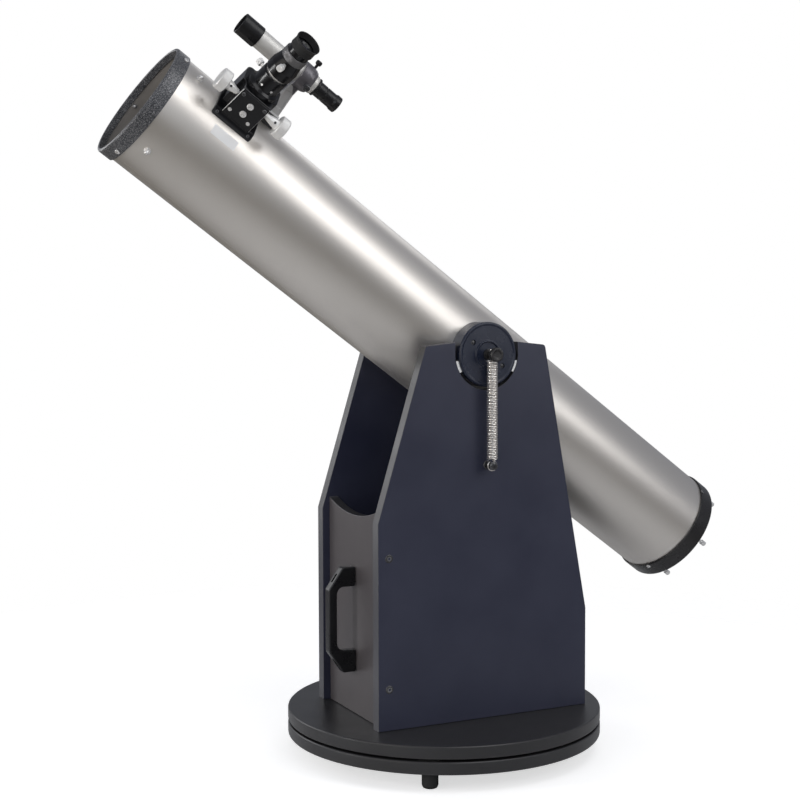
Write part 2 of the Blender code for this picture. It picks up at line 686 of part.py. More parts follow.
def make_spring_post(name, side):
    """The knob in the bearing's middle, which the spring's upper end hooks over."""
    start = BEARING_FACE + 0.0012
    profile = [(0.0, 0.1515), (0.0098, 0.1515), (0.0112, 0.1500), (0.0112, 0.1446), (0.0050, 0.1441),
               (0.0050, start + 0.002), (0.0085, start + 0.002), (0.0085, start - 0.0018),
               (0.0, start - 0.0018)]
    turned("spring_knob_" + name, profile, BLACK_PLASTIC, ALTITUDE, turn=outwards(side), sides=24)


# ---------------------------------------------------------------- focuser
FLANGE_LENGTH = 0.0704
FLANGE_HALF = 0.034
HOUSING_TOP = 0.149
HOUSING_FACE = 0.028            # the housing's flat side, which the pinion cover closes
NECK_TOP = 0.1845
BORE_RADIUS = DRAWTUBE_RADIUS + GAP
SHAFT_RADIUS = 0.003
RACK_FACE = 0.0182
KNOB_FACES = {"front": 0.0594, "rear": 0.0625}      # outer faces, from the focuser's middle
KNOB_THICKNESS = 0.0145
HUB_START = 0.0258              # inner ends of the knobs' hubs
BODY_HALF = 0.031               # the body's half length along the tube
BLOCK_HALF = 0.0245             # the pinion block's, and its cover's
COVER_LOW = 0.0968
COVER_HIGH = 0.1483
HEAD_LOW = 0.1890
HEAD_HIGH = 0.2190
SCREW_HOLE = 0.0034
EYEPIECE_SCREW_Z = 0.2120
EYEPIECE_SCREW_AIM = (math.sin(math.radians(17.0)), math.cos(math.radians(17.0)), 0.0)
LOCK_SCREW_Z = 0.1715
LOCK_SCREW_AIM = (math.cos(math.radians(35.0)), -math.sin(math.radians(35.0)), 0.0)


def make_focuser_housing():
    """The cast body: a saddle flange on the tube, a block for the pinion and a round neck."""
    outline = [(-FLANGE_HALF, 0.078), (FLANGE_HALF, 0.078), (FLANGE_HALF, 0.0865), (0.0245, 0.0960),
               (-0.0245, 0.0960), (-FLANGE_HALF, 0.0865)]
    across = Matrix.Rotation(math.pi / 2, 3, "Z") @ UPRIGHT
    housing = plate("focuser_housing", outline, FLANGE_LENGTH, BLACK_METAL, FOCUSER, turn=across)
    trim = plate("focuser_flange_trim", rounded_rectangle(FLANGE_LENGTH, 2 * FLANGE_HALF, 0.007), 0.1, None,
                 FOCUSER, (0.0, 0.0, 0.09), group=CUTTERS)
    combine(housing, trim, "INTERSECT")
    corner = 0.009
    far_side = -0.021
    outline = arc((-BODY_HALF + corner, far_side), corner, 180, 270, 3)
    outline += arc((BODY_HALF - corner, far_side), corner, 270, 360, 3)
    outline += [(BODY_HALF, 0.006), (BLOCK_HALF, 0.0125), (BLOCK_HALF, HOUSING_FACE)]
    outline += [(-BLOCK_HALF, HOUSING_FACE), (-BLOCK_HALF, 0.0125), (-BODY_HALF, 0.006)]
    body = plate("focuser_body", outline, HOUSING_TOP - 0.088, None, FOCUSER,
                 (0.0, 0.0, (HOUSING_TOP + 0.088) / 2), group=CUTTERS)
    join(housing, body)
    neck = [(0.0, NECK_TOP), (0.0206, NECK_TOP), (0.0214, NECK_TOP - 0.0008), (0.0214, 0.160),
            (0.0262, 0.157), (0.0262, 0.140), (0.0, 0.140)]
    join(housing, turned("focuser_neck", neck, None, FOCUSER, group=CUTTERS))
    cut_hole(housing, TUBE_RADIUS + GAP, -0.1, 0.1, FOCUSER, turn=ALONG_X, sides=TUBE_SIDES)
    cut_hole(housing, BORE_RADIUS, 0.06, 0.20, FOCUSER)
    cut_box(housing, (0.0082, 0.012, 0.105), FOCUSER, (0.0, RACK_FACE + GAP - 0.006, 0.1225))
    cut_box(housing, (0.020, 0.012, 0.016), FOCUSER, (0.0, HOUSING_FACE - 0.003, PINION_Z))
    cut_hole(housing, SHAFT_RADIUS + GAP, -0.05, 0.05, FOCUSER, (0.0, PINION_Y, PINION_Z), ALONG_X,
             sides=TINY_SIDES)
    cut_hole(housing, SCREW_HOLE, 0.010, 0.05, FOCUSER, (0.0, 0.0, LOCK_SCREW_Z),
             aim(LOCK_SCREW_AIM), sides=TINY_SIDES)


def make_pinion_cover():
    """The flat plate that closes the pinion's chamber."""
    thickness = 0.003
    outline = rounded_rectangle(2 * BLOCK_HALF, COVER_HIGH - COVER_LOW, 0.0015, 2)
    plate("pinion_cover", outline, thickness, BLACK_METAL, FOCUSER,
          (0.0, HOUSING_FACE + GAP + thickness / 2, (COVER_LOW + COVER_HIGH) / 2), UPRIGHT,
          rounding=0.0004)


def make_pinion_shaft():
    recess = 0.003
    cylinder("pinion_shaft", SHAFT_RADIUS, recess - KNOB_FACES["rear"], KNOB_FACES["front"] - recess,
             STEEL, FOCUSER, (0.0, PINION_Y, PINION_Z), ALONG_X, sides=TINY_SIDES)


def make_focus_knob(name, sign):
    """A disc with a long tapered hub, bored for the shaft."""
    hole = SHAFT_RADIUS + GAP
    face = KNOB_FACES[name]
    inner = face - KNOB_THICKNESS
    profile = [(0.0, face), (0.0150, face), (0.0165, face - 0.0015), (0.0165, inner + 0.0012),
               (0.0153, inner), (0.0085, inner), (0.0075, inner - 0.005), (0.0050, HUB_START),
               (hole, HUB_START), (hole, face - 0.0027), (0.0, face - 0.0027)]
    turned("focus_knob_" + name, profile, SILVER, FOCUSER, location=(0.0, PINION_Y, PINION_Z),
           turn=aim((sign, 0.0, 0.0)))


def make_drawtube():
    """The sliding tube, with the rack along its side."""
    top = HEAD_LOW + 0.019
    drawtube = ring("drawtube", DRAWTUBE_RADIUS, DRAWTUBE_RADIUS - 0.0015, 0.080, top, BLACK_METAL,
                    FOCUSER)
    rack_low = 0.096
    rack_high = 0.142
    depth = RACK_FACE - DRAWTUBE_RADIUS + 0.001
    join_box(drawtube, (0.0070, depth, rack_high - rack_low), FOCUSER,
             (0.0, RACK_FACE - depth / 2, (rack_low + rack_high) / 2))


def make_drawtube_head():
    """The collar on the drawtube's end that clamps the eyepiece."""
    inner = DRAWTUBE_RADIUS - 0.0015
    step = HEAD_LOW + 0.019 + GAP
    profile = [(0.0185, HEAD_HIGH), (0.0190, 0.2155), (0.0218, 0.2030), (0.0218, HEAD_LOW + 0.0006),
               (0.0212, HEAD_LOW), (BORE_RADIUS, HEAD_LOW), (BORE_RADIUS, step), (inner, step),
               (inner, HEAD_HIGH)]
    head = turned("drawtube_head", profile, BLACK_METAL, FOCUSER, closed=True)
    cut_hole(head, SCREW_HOLE, 0.010, 0.04, FOCUSER, (0.0, 0.0, EYEPIECE_SCREW_Z),
             aim(EYEPIECE_SCREW_AIM), sides=TINY_SIDES)


def thumbscrew(name, tip, shoulder, end, head_radius, look, parent, location, direction):
    """A screw with a round head; distances run outwards from the place along its axis."""
    shank = 0.0029
    profile = [(0.0, end), (head_radius - 0.0008, end), (head_radius, end - 0.0008),
               (head_radius, shoulder + 0.0008), (head_radius - 0.0008, shoulder), (shank, shoulder),
               (shank, tip), (0.0, tip)]
    turned(name, profile, look, parent, location=location, turn=aim(direction), sides=TINY_SIDES)


def make_eyepiece():
    """A short eyepiece: a push-in nose, a grey grip ring and a barrel, and its rubber eyecup."""
    nose = DRAWTUBE_RADIUS - 0.0015 - GAP
    start = HEAD_HIGH + GAP
    profile = [(0.0, 0.2445), (0.0120, 0.2460), (0.0172, 0.2460), (0.0172, 0.2320), (0.0189, 0.2310),
               (0.0189, start), (nose, start), (nose, 0.1870), (nose - 0.0012, 0.1870),
               (nose - 0.0012, 0.2000), (0.0, 0.2000)]
    turned("eyepiece", profile, BLACK_METAL, FOCUSER)
    cup = [(0.0196, 0.2560), (0.0196, 0.2545), (0.0182, 0.2500), (0.0186, 0.2400), (0.0175, 0.2400),
           (0.0175, 0.2463), (0.0155, 0.2470), (0.0170, 0.2510), (0.0182, 0.2560)]
    turned("eyecup", cup, RUBBER, FOCUSER, closed=True)


# ---------------------------------------------------------------- finder scope
SHOE_TOP = 0.1100
SHOE_SCREW_Z = 0.1045
SHOE_X = 0.011                  # the shoe's middle, from the finder's station
RING_FRONT = 0.015              # the bracket's ring, from the finder's station
RING_REAR = -0.0085
RING_INNER = 0.0164
FINDER_RADIUS = 0.0151
PIN_X = 0.001
ADJUST_X = -0.002
ADJUST_ANGLE = 110.0            # of each adjusting screw from the sprung pin
PIN_AIM = (0.0, 0.0, 1.0)


def adjust_aim(sign):
    """The direction of an adjusting screw, to one side of the sprung pin."""
    angle = math.radians(ADJUST_ANGLE)
    return 0.0, sign * math.sin(angle), math.cos(angle)


def make_finder_shoe():
    """The dovetail socket on the tube that the finder's bracket slides into."""
    outline = rounded_rectangle(0.030, 0.030, 0.003, 2)
    shoe = plate("finder_shoe", outline, SHOE_TOP - 0.088, BLACK_METAL, FINDER,
                 (SHOE_X, 0.0, (SHOE_TOP + 0.088) / 2))
    cut_hole(shoe, TUBE_RADIUS + GAP, -0.1, 0.1, FINDER, turn=ALONG_X, sides=TUBE_SIDES)
    slot = [(-0.0093, 0.0980), (0.0093, 0.0980), (0.0068, 0.1120), (-0.0068, 0.1120)]
    across = Matrix.Rotation(math.pi / 2, 3, "Z") @ UPRIGHT
    cut(shoe, plate("finder_shoe_slot", slot, 0.08, None, FINDER, turn=across, group=CUTTERS))
    cut_hole(shoe, SCREW_HOLE, 0.0, 0.03, FINDER, (SHOE_X, 0.0, SHOE_SCREW_Z), aim((0.0, 1.0, 0.0)),
             sides=TINY_SIDES)


def make_finder_bracket():
    """A dovetail foot, a leaning stalk and the ring that holds the finder."""
    foot = [(-0.0089, 0.0984), (0.0089, 0.0984), (0.0064, 0.1130), (-0.0064, 0.1130)]
    across = Matrix.Rotation(math.pi / 2, 3, "Z") @ UPRIGHT
    bracket = plate("finder_bracket", foot, 0.028, GREY_METAL, FINDER, (SHOE_X, 0.0, 0.0), across)
    stalk = [(-0.0015, 0.111), (0.0165, 0.111), (0.0185, 0.145), (0.0145, 0.168), (0.0, 0.168),
             (0.0015, 0.150)]
    join(bracket, plate("finder_stalk", stalk, 0.0105, None, FINDER, turn=UPRIGHT, group=CUTTERS))
    ring_outline = [(0.0, RING_FRONT), (0.0208, RING_FRONT), (0.0215, RING_FRONT - 0.0007),
                    (0.0214, 0.002), (0.0200, -0.004), (0.0178, RING_REAR), (0.0, RING_REAR)]
    join(bracket, turned("finder_bell", ring_outline, None, FINDER, location=(0.0, 0.0, FINDER_HEIGHT),
                         turn=ALONG_X, group=CUTTERS, sides=LARGE_SIDES))
    cut_hole(bracket, RING_INNER, -0.02, 0.02, FINDER, (0.0, 0.0, FINDER_HEIGHT), ALONG_X)
    for direction, along in ((PIN_AIM, PIN_X), (adjust_aim(1.0), ADJUST_X), (adjust_aim(-1.0), ADJUST_X)):
        cut_hole(bracket, SCREW_HOLE - 0.0008, 0.010, 0.03, FINDER, (along, 0.0, FINDER_HEIGHT),
                 aim(direction), sides=TINY_SIDES)


def make_finder():
    """The finder's tube, its objective cell in front and its eyepiece behind."""
    place = {"location": (0.0, 0.0, FINDER_HEIGHT), "turn": ALONG_X}
    bore = FINDER_RADIUS - 0.0012
    tube = [(FINDER_RADIUS, 0.104), (FINDER_RADIUS, -0.014), (0.0128, -0.0165), (0.0104, -0.0165),
            (0.0104, -0.010), (bore, -0.006), (bore, 0.104)]
    turned("finder_tube", tube, SILVER, FINDER, closed=True, **place)
    cell = [(0.0162, 0.128), (0.0168, 0.1274), (0.0170, 0.0950), (0.0164, 0.0940),
            (FINDER_RADIUS + GAP, 0.0940), (FINDER_RADIUS + GAP, 0.1043), (0.0146, 0.1050), (0.0150, 0.128)]
    turned("finder_hood", cell, BLACK_PLASTIC, FINDER, closed=True, **place)
    barrel = [(0.0, 0.006), (0.0101, 0.006), (0.0101, -0.0168), (0.0145, -0.0168), (0.0145, -0.0195),
              (0.0120, -0.0205), (0.0119, -0.050),
              (0.0132, -0.0535), (0.0132, -0.0600), (0.0125, -0.0612), (0.0090, -0.0612),
              (0.0075, -0.0585), (0.0, -0.0585)]
    turned("finder_eyepiece", barrel, BLACK_PLASTIC, FINDER, **place)


def make_finder_screws():
    pin_tip = FINDER_RADIUS + 2 * GAP
    pin = [(0.0, 0.0335), (0.0040, 0.0335), (0.0048, 0.0325), (0.0048, 0.0275), (0.0040, 0.0262),
           (0.0022, 0.0258), (0.0022, pin_tip), (0.0, pin_tip)]
    turned("finder_spring_pin", pin, BLACK_PLASTIC, FINDER,
           location=(PIN_X, 0.0, FINDER_HEIGHT), turn=aim(PIN_AIM), sides=TINY_SIDES)
    for name, sign in (("near", 1.0), ("far", -1.0)):
        screw = [(0.0, 0.0325), (0.0046, 0.0325), (0.0052, 0.0317), (0.0052, 0.0243), (0.0046, 0.0237),
                 (0.0022, 0.0237), (0.0022, pin_tip), (0.0, pin_tip)]
        turned("finder_screw_" + name, screw, SILVER, FINDER,
               location=(ADJUST_X, 0.0, FINDER_HEIGHT), turn=aim(adjust_aim(sign)), sides=TINY_SIDES)


# ---------------------------------------------------------------- build
def build():
    make_ground_board()
    for number, azimuth in enumerate(FOOT_AZIMUTHS, start=1):
        make_foot(number, azimuth)
        make_azimuth_pad(number, azimuth)
    make_pivot()
    make_turntable()
    make_front_board()
    make_handle()
    for name, side in SIDES.items():
        make_side_board(name, side)
        make_cradle_pad(name, side, "front", -1)
        make_cradle_pad(name, side, "rear", 1)
        make_spring_anchor(name, side)
        make_spring(name, side)
        make_side_bearing(name, side)
        make_spring_post(name, side)
    make_tube()
    make_front_ring()
    make_rear_ring()
    make_mirror_plate()
    make_primary_mirror()
    make_cell_bolts()
    make_spider()
    make_secondary()
    make_focuser_housing()
    make_pinion_cover()
    make_pinion_shaft()
    make_focus_knob("front", 1.0)
    make_focus_knob("rear", -1.0)
    make_drawtube()
    make_drawtube_head()
    make_eyepiece()
    thumbscrew("eyepiece_screw", 0.0163, 0.0265, 0.0350, 0.0050, SILVER, FOCUSER,
               (0.0, 0.0, EYEPIECE_SCREW_Z), EYEPIECE_SCREW_AIM)
    thumbscrew("focus_lock_screw", BORE_RADIUS + GAP, 0.0265, 0.0345, 0.0052, SILVER, FOCUSER,
               (0.0, 0.0, LOCK_SCREW_Z), LOCK_SCREW_AIM)
    make_finder_shoe()
    make_finder_bracket()
    make_finder()
    make_finder_screws()
    thumbscrew("shoe_screw", 0.0096, 0.0160, 0.0240, 0.0055, BLACK_PLASTIC, FINDER,
               (SHOE_X, 0.0, SHOE_SCREW_Z), (0.0, 1.0, 0.0))


build()
bpy.context.view_layer.update()
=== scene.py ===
"""Looks for the dobsonian telescope: fine pieces and finishes around the fixed CAD frame.

Metres, +Z up, in the frame's own coordinates.  Each fine piece stands for one CAD node,
sits where that node sits and rides on the same body.  Small screws, nuts, lenses, the seam
and the sticker are extra pieces that ride with a node.
"""

import json
import math

import bmesh
import bpy
from mathutils import Matrix, Vector

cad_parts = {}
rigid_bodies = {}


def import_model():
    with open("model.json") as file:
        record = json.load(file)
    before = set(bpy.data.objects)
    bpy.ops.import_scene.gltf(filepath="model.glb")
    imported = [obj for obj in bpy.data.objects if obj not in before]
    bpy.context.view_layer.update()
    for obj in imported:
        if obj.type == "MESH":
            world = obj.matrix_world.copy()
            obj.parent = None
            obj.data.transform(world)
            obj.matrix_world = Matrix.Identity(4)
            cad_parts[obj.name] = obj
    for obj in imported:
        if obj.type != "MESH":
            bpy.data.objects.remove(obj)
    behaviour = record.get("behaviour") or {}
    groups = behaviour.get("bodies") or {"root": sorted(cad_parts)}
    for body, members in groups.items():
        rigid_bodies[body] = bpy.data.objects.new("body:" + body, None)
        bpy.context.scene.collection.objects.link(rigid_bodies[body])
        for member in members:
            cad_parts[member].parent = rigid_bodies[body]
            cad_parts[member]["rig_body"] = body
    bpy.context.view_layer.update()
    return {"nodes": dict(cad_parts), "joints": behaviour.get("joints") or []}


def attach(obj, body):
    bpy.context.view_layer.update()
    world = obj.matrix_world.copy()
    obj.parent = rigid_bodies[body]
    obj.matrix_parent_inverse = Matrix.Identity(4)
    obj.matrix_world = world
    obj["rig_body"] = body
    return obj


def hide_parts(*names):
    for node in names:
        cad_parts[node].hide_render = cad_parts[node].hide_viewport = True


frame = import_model()
SCENE = bpy.context.scene

# ---- driving dimensions
GAP = 0.0003
TUBE_RADIUS = 0.092
TUBE_WALL = 0.0008
TUBE_CUT = 0.0923               # the cut that fits a piece over the tube
RING_RADIUS = 0.095             # outside of the end rings
TUBE_FRONT = 0.632
TUBE_REAR = -0.534
TUBE_ALTITUDE = 36.05           # degrees above the horizon at rest
FOCUSER_STATION = 0.526
FOCUSER_ROLL = 50.0
FINDER_STATION = 0.468
FINDER_ROLL = 20.0
FINDER_HEIGHT = 0.1823

BASE_RADIUS = 0.256
BOARD = 0.02
GROUND_BOTTOM = 0.028
TURNTABLE_BOTTOM = 0.0515
BOX_HALF_WIDTH = 0.118
ALTITUDE_X = 0.0158             # altitude axis, measured from the azimuth axis
ALTITUDE_Z = 0.647
CRADLE_RADIUS = 0.0555
BEARING_RADIUS = 0.0505
BOX_FOOT = 0.0718               # underside of the upright boards

ROUND_SIDES = 192               # facets of the round pieces, by size
MEDIUM_SIDES = 96
SMALL_SIDES = 48
SHARP = 32.0                    # degrees between faces that meet in a visible edge
SAME_POINT = 0.0000005          # points nearer than this are joined
SAME_POINT_CUT = 0.000002       # the same after a Boolean or a curve
SMOOTH_BEND = 12.0              # degrees; a smaller bend in an outline isn't a corner


# ---- the frame's own places
JOINTS = {joint["name"]: joint for joint in frame["joints"]}


def placed(x=0.0, y=0.0, z=0.0):
    return Matrix.Translation((x, y, z))


def turn(degrees, axis):
    return Matrix.Rotation(math.radians(degrees), 4, axis)


def aimed(direction):
    """The rotation that turns +Z to the direction."""
    return Vector(direction).normalized().to_track_quat("Z", "Y").to_matrix().to_4x4()


def tube_station(along, roll):
    """A frame on the tube's axis: X to the tube's front, Z outwards at the roll angle."""
    angle = math.radians(roll)
    front = Vector((0.0, 0.0, 1.0))
    outward = Vector((math.cos(angle), -math.sin(angle), 0.0))
    side = outward.cross(front)
    return TUBE @ placed(z=along) @ Matrix((front, side, outward)).transposed().to_4x4()


BASE = placed(x=JOINTS["azimuth_turn"]["pos_m"][0])
ALTITUDE = Matrix.Translation(JOINTS["altitude_tilt"]["pos_m"])
TUBE = ALTITUDE @ turn(TUBE_ALTITUDE - 90.0, "Y")      # Z along the tube, X its top
FOCUSER = tube_station(FOCUSER_STATION, FOCUSER_ROLL)
FINDER = tube_station(FINDER_STATION, FINDER_ROLL)
FINDER_AXIS = FINDER @ placed(z=FINDER_HEIGHT)
UPRIGHT = turn(90.0, "X")       # an outline's X and Y stand in X and Z
ACROSS = turn(90.0, "Z") @ UPRIGHT                      # an outline's X runs along Y
ALONG_X = turn(90.0, "Y")       # a turned piece's Z points along X
SIDES = {"left": -1.0, "right": 1.0}


# ---- finishes
class Nodes:
    """The node tree of a material or a world, with short ways to add and join its nodes."""

    def __init__(self, owner):
        owner.use_nodes = True
        self.owner = owner
        self.tree = owner.node_tree
        self.coordinates = self.add("ShaderNodeTexCoord").outputs

    def add(self, kind, settings=None, **options):
        """A new node with these options and these values or links on its sockets."""
        node = self.tree.nodes.new(kind)
        for option, value in options.items():
            setattr(node, option, value)
        self.fill(node, settings or {})
        return node

    def fill(self, node, settings):
        """Set a node's sockets: an output is linked, and anything else is put in as a value."""
        for name, value in settings.items():
            socket = node.inputs[name]
            if isinstance(value, bpy.types.NodeSocket):
                self.tree.links.new(value, socket)
            elif socket.type == "RGBA":
                socket.default_value = (*value, 1.0)
            else:
                socket.default_value = value

    def shade(self, settings):
        """Set the material's own shader."""
        self.fill(self.tree.nodes["Principled BSDF"], settings)

    def noise(self, scale, detail, stretch=(1.0, 1.0, 1.0), roughness=0.55):
        """A noise over the object's own coordinates; stretch squeezes it along an axis."""
        mapping = self.add("ShaderNodeMapping", {"Scale": stretch, "Vector": self.coordinates["Object"]})
        settings = {
            "Scale": scale, "Detail": detail, "Roughness": roughness, "Vector": mapping.outputs["Vector"]}
        return self.add("ShaderNodeTexNoise", settings).outputs["Fac"]

    def cells(self, scale):
        """Rounded cells, as on hammered paint."""
        settings = {"Scale": scale, "Smoothness": 0.6, "Vector": self.coordinates["Object"]}
        return self.add("ShaderNodeTexVoronoi", settings, feature="SMOOTH_F1").outputs["Distance"]

    def span(self, value, low, high, start=0.3, end=0.7):
        """The value's start-to-end range spread over low to high."""
        settings = {"Value": value, "From Min": start, "From Max": end, "To Min": low, "To Max": high}
        return self.add("ShaderNodeMapRange", settings).outputs["Result"]

    def blend(self, factor, first, second):
        """Two colours mixed; either may be a socket."""
        return self.add("ShaderNodeMix", {0: factor, 6: first, 7: second}, data_type="RGBA").outputs[2]

    def edges(self, low, high):
        """How sharp a spot is, from 0 on flats to 1 on sharp edges: where the paler edge colour goes, partly
        wear and partly a painted highlight.
        """
        geometry = self.add("ShaderNodeNewGeometry")
        return self.span(geometry.outputs["Pointiness"], 0.0, 1.0, low, high)

    def bump(self, height, strength, distance, below=None):
        settings = {"Height": height, "Strength": strength, "Distance": distance}
        if below is not None:
            settings["Normal"] = below
        return self.add("ShaderNodeBump", settings).outputs["Normal"]


def finish(name, colour, shade, rough, grain, depth, patch, metallic=0.0, bump=0.3, edge=None,
           edge_range=(0.52, 0.6), coat=0.0, specular=0.5, cells=None, speckle=None):
    """A finish with a patchy colour, a fine grain, uneven gloss and paler edges, partly wear and partly a
    painted highlight where light catches them.

    rough is the range of roughness; grain and patch are noise scales, and depth is in metres.
    """
    nodes = Nodes(bpy.data.materials.new(name + "_finish"))
    fine = nodes.noise(grain, 5.0)
    wide = nodes.noise(patch, 3.0)
    colours = nodes.blend(nodes.span(wide, 0.0, 1.0), colour, shade)
    colours = nodes.blend(nodes.span(fine, 0.0, 0.5), colours, shade)
    if speckle is not None:
        dots = nodes.noise(speckle[0], 2.0, roughness=0.8)
        colours = nodes.blend(nodes.span(dots, 0.0, 1.0, 0.5, 0.62), colours, speckle[1])
    # Paler colour on sharp edges: partly wear, partly a painted highlight along the edges.
    if edge is not None:
        colours = nodes.blend(nodes.edges(*edge_range), colours, edge)
    normal = nodes.bump(fine, bump, depth)
    if cells is not None:
        normal = nodes.bump(nodes.cells(cells), 0.5, 0.0002, normal)
    nodes.shade({"Base Color": colours, "Roughness": nodes.span(wide, *rough), "Metallic": metallic,
                 "Specular IOR Level": specular, "Coat Weight": coat, "Coat Roughness": 0.2,
                 "Normal": normal})
    return nodes.owner


def flake_paint(name):
    """Champagne-silver metallic paint: fine flakes under a satin lacquer."""
    nodes = Nodes(bpy.data.materials.new(name + "_finish"))
    flakes = nodes.noise(2600.0, 2.0)
    wide = nodes.noise(5.0, 3.0, (1.0, 1.0, 0.35))
    colours = nodes.blend(nodes.span(wide, 0.0, 1.0), (0.745, 0.705, 0.655), (0.695, 0.66, 0.615))
    colours = nodes.blend(nodes.span(flakes, 0.0, 0.55, 0.35, 0.75), colours, (0.88, 0.85, 0.81))
    peel = nodes.bump(nodes.noise(420.0, 2.0), 0.1, 0.00005)
    nodes.shade({"Base Color": colours, "Roughness": nodes.span(wide, 0.36, 0.42), "Metallic": 0.9,
                 "Coat Weight": 0.12, "Coat Roughness": 0.22,
                 "Normal": nodes.bump(flakes, 0.12, 0.00002, peel)})
    return nodes.owner


def glass(name, tint, smeared):
    """A coated lens: dark glass with a faint coloured sheen, duller where it is smeared."""
    nodes = Nodes(bpy.data.materials.new(name + "_finish"))
    smear = nodes.noise(60.0, 3.0)
    colours = nodes.blend(nodes.span(smear, 0.0, 0.4), tint, smeared)
    nodes.shade({"Base Color": colours, "Roughness": nodes.span(smear, 0.03, 0.08), "Coat Weight": 1.0,
                 "Coat Roughness": 0.02, "Specular IOR Level": 0.9,
                 "Normal": nodes.bump(smear, 0.05, 0.00001)})
    return nodes.owner


# The edge colours below are painted on sharp edges: partly wear, mostly painted highlight where light
# catches the edges.
PAINT = flake_paint("tube_paint")
MATT_BLACKING = finish(
    "tube_inside", (0.27, 0.25, 0.23), (0.21, 0.195, 0.18), (0.55, 0.7), 700.0, 0.0001, 14.0, specular=0.3)
HAMMERED = finish(
    "hammered", (0.07, 0.073, 0.08), (0.026, 0.028, 0.034), (0.3, 0.42), 700.0, 0.00002, 14.0, metallic=0.2,
    bump=0.5, cells=620.0, edge=(0.22, 0.22, 0.23), speckle=(760.0, (0.32, 0.32, 0.33)))
LAMINATE = finish(
    "laminate", (0.0185, 0.021, 0.043), (0.029, 0.032, 0.058), (0.36, 0.46), 1100.0, 0.00012, 9.0, bump=0.55,
    edge=(0.05, 0.052, 0.062), edge_range=(0.54, 0.66))
BASE_BOARD = finish(
    "base_board", (0.015, 0.0145, 0.015), (0.024, 0.0235, 0.025), (0.28, 0.38), 1100.0, 0.0001, 8.0,
    bump=0.5, edge=(0.075, 0.073, 0.075), edge_range=(0.52, 0.62))
EDGE_BAND = finish(
    "edge_band", (0.036, 0.0355, 0.037), (0.028, 0.0275, 0.029), (0.3, 0.42), 500.0, 0.00008, 14.0, bump=0.4,
    edge=(0.07, 0.07, 0.08))
# The front board's own brown-grey, made paler to stand in for the light falling on it from the left: partly
# painted light.
FRONT_BOARD_WITH_PAINTED_LIGHT = finish(
    "front_board", (0.088, 0.079, 0.082), (0.07, 0.063, 0.065), (0.34, 0.42), 1300.0, 0.0001, 7.0, bump=0.5)
BLACK_PLASTIC = finish(
    "moulded_black", (0.007, 0.007, 0.008), (0.01, 0.01, 0.011), (0.24, 0.34), 1800.0, 0.00003, 30.0,
    bump=0.35, edge=(0.05, 0.05, 0.054), specular=0.36)
NAVY_PLASTIC = finish(
    "bearing", (0.0105, 0.0145, 0.031), (0.014, 0.019, 0.038), (0.22, 0.3), 1700.0, 0.00004, 30.0, bump=0.35)
BLACK_METAL = finish(
    "black_metal", (0.005, 0.005, 0.006), (0.008, 0.008, 0.0095), (0.15, 0.22), 1500.0, 0.00002, 40.0,
    edge=(0.09, 0.09, 0.092), specular=0.34)
SATIN_BLACK = finish(
    "satin_black", (0.013, 0.0122, 0.013), (0.019, 0.018, 0.019), (0.22, 0.32), 1500.0, 0.00003, 30.0,
    edge=(0.07, 0.07, 0.07))
CAST_GREY = finish(
    "cast_grey", (0.17, 0.162, 0.176), (0.125, 0.119, 0.132), (0.3, 0.4), 900.0, 0.00008, 45.0,
    metallic=0.35, bump=0.4, edge=(0.45, 0.44, 0.46))
CAST_PALE = finish(
    "cast_pale", (0.62, 0.61, 0.6), (0.5, 0.49, 0.485), (0.34, 0.46), 900.0, 0.00008, 45.0, metallic=0.3,
    bump=0.4, edge=(0.85, 0.84, 0.83))
SATIN_SILVER = finish(
    "satin_silver", (0.89, 0.88, 0.86), (0.83, 0.82, 0.8), (0.3, 0.4), 1300.0, 0.00003, 40.0, metallic=0.3,
    edge=(0.96, 0.95, 0.93))
CREAM_SILVER = finish(
    "cream_silver", (0.74, 0.725, 0.69), (0.68, 0.665, 0.635), (0.38, 0.48), 1300.0, 0.00003, 40.0,
    metallic=0.35)
SPRING_STEEL = finish(
    "spring", (0.96, 0.92, 0.87), (0.84, 0.8, 0.76), (0.24, 0.32), 900.0, 0.00002, 90.0, metallic=0.85)
SCREW_STEEL = finish(
    "screw", (0.92, 0.91, 0.9), (0.8, 0.79, 0.78), (0.2, 0.3), 1600.0, 0.00002, 150.0, metallic=0.55)
SCREW_BLACK = finish(
    "black_screw", (0.012, 0.012, 0.014), (0.02, 0.02, 0.023), (0.18, 0.28), 1400.0, 0.00002, 120.0,
    edge=(0.26, 0.26, 0.27), edge_range=(0.51, 0.57), coat=0.4)
RING_GREY = finish(
    "anodised_grey", (0.185, 0.18, 0.182), (0.145, 0.142, 0.145), (0.34, 0.44), 1200.0, 0.00003, 60.0,
    metallic=0.5, edge=(0.26, 0.26, 0.265))
RUBBER = finish(
    "rubber", (0.014, 0.014, 0.0145), (0.022, 0.022, 0.022), (0.58, 0.74), 1200.0, 0.0001, 60.0, bump=0.5,
    specular=0.35)
WHITE_PLASTIC = finish(
    "white_plastic", (0.93, 0.93, 0.92), (0.88, 0.88, 0.87), (0.34, 0.44), 900.0, 0.00003, 60.0)
STICKER = finish("sticker", (0.97, 0.97, 0.97), (0.94, 0.94, 0.94), (0.3, 0.4), 700.0, 0.00002, 80.0)
MIRROR = finish(
    "mirror", (0.9, 0.9, 0.92), (0.87, 0.87, 0.89), (0.02, 0.04), 60.0, 0.000005, 20.0, metallic=1.0,
    bump=0.05)
LENS = glass("lens", (0.02, 0.012, 0.035), (0.02, 0.03, 0.04))


# ---- making shapes
def edited(mesh, change):
    """The mesh after a bmesh function has changed it."""
    work = bmesh.new()
    work.from_mesh(mesh)
    change(work)
    work.to_mesh(mesh)
    work.free()
    return mesh


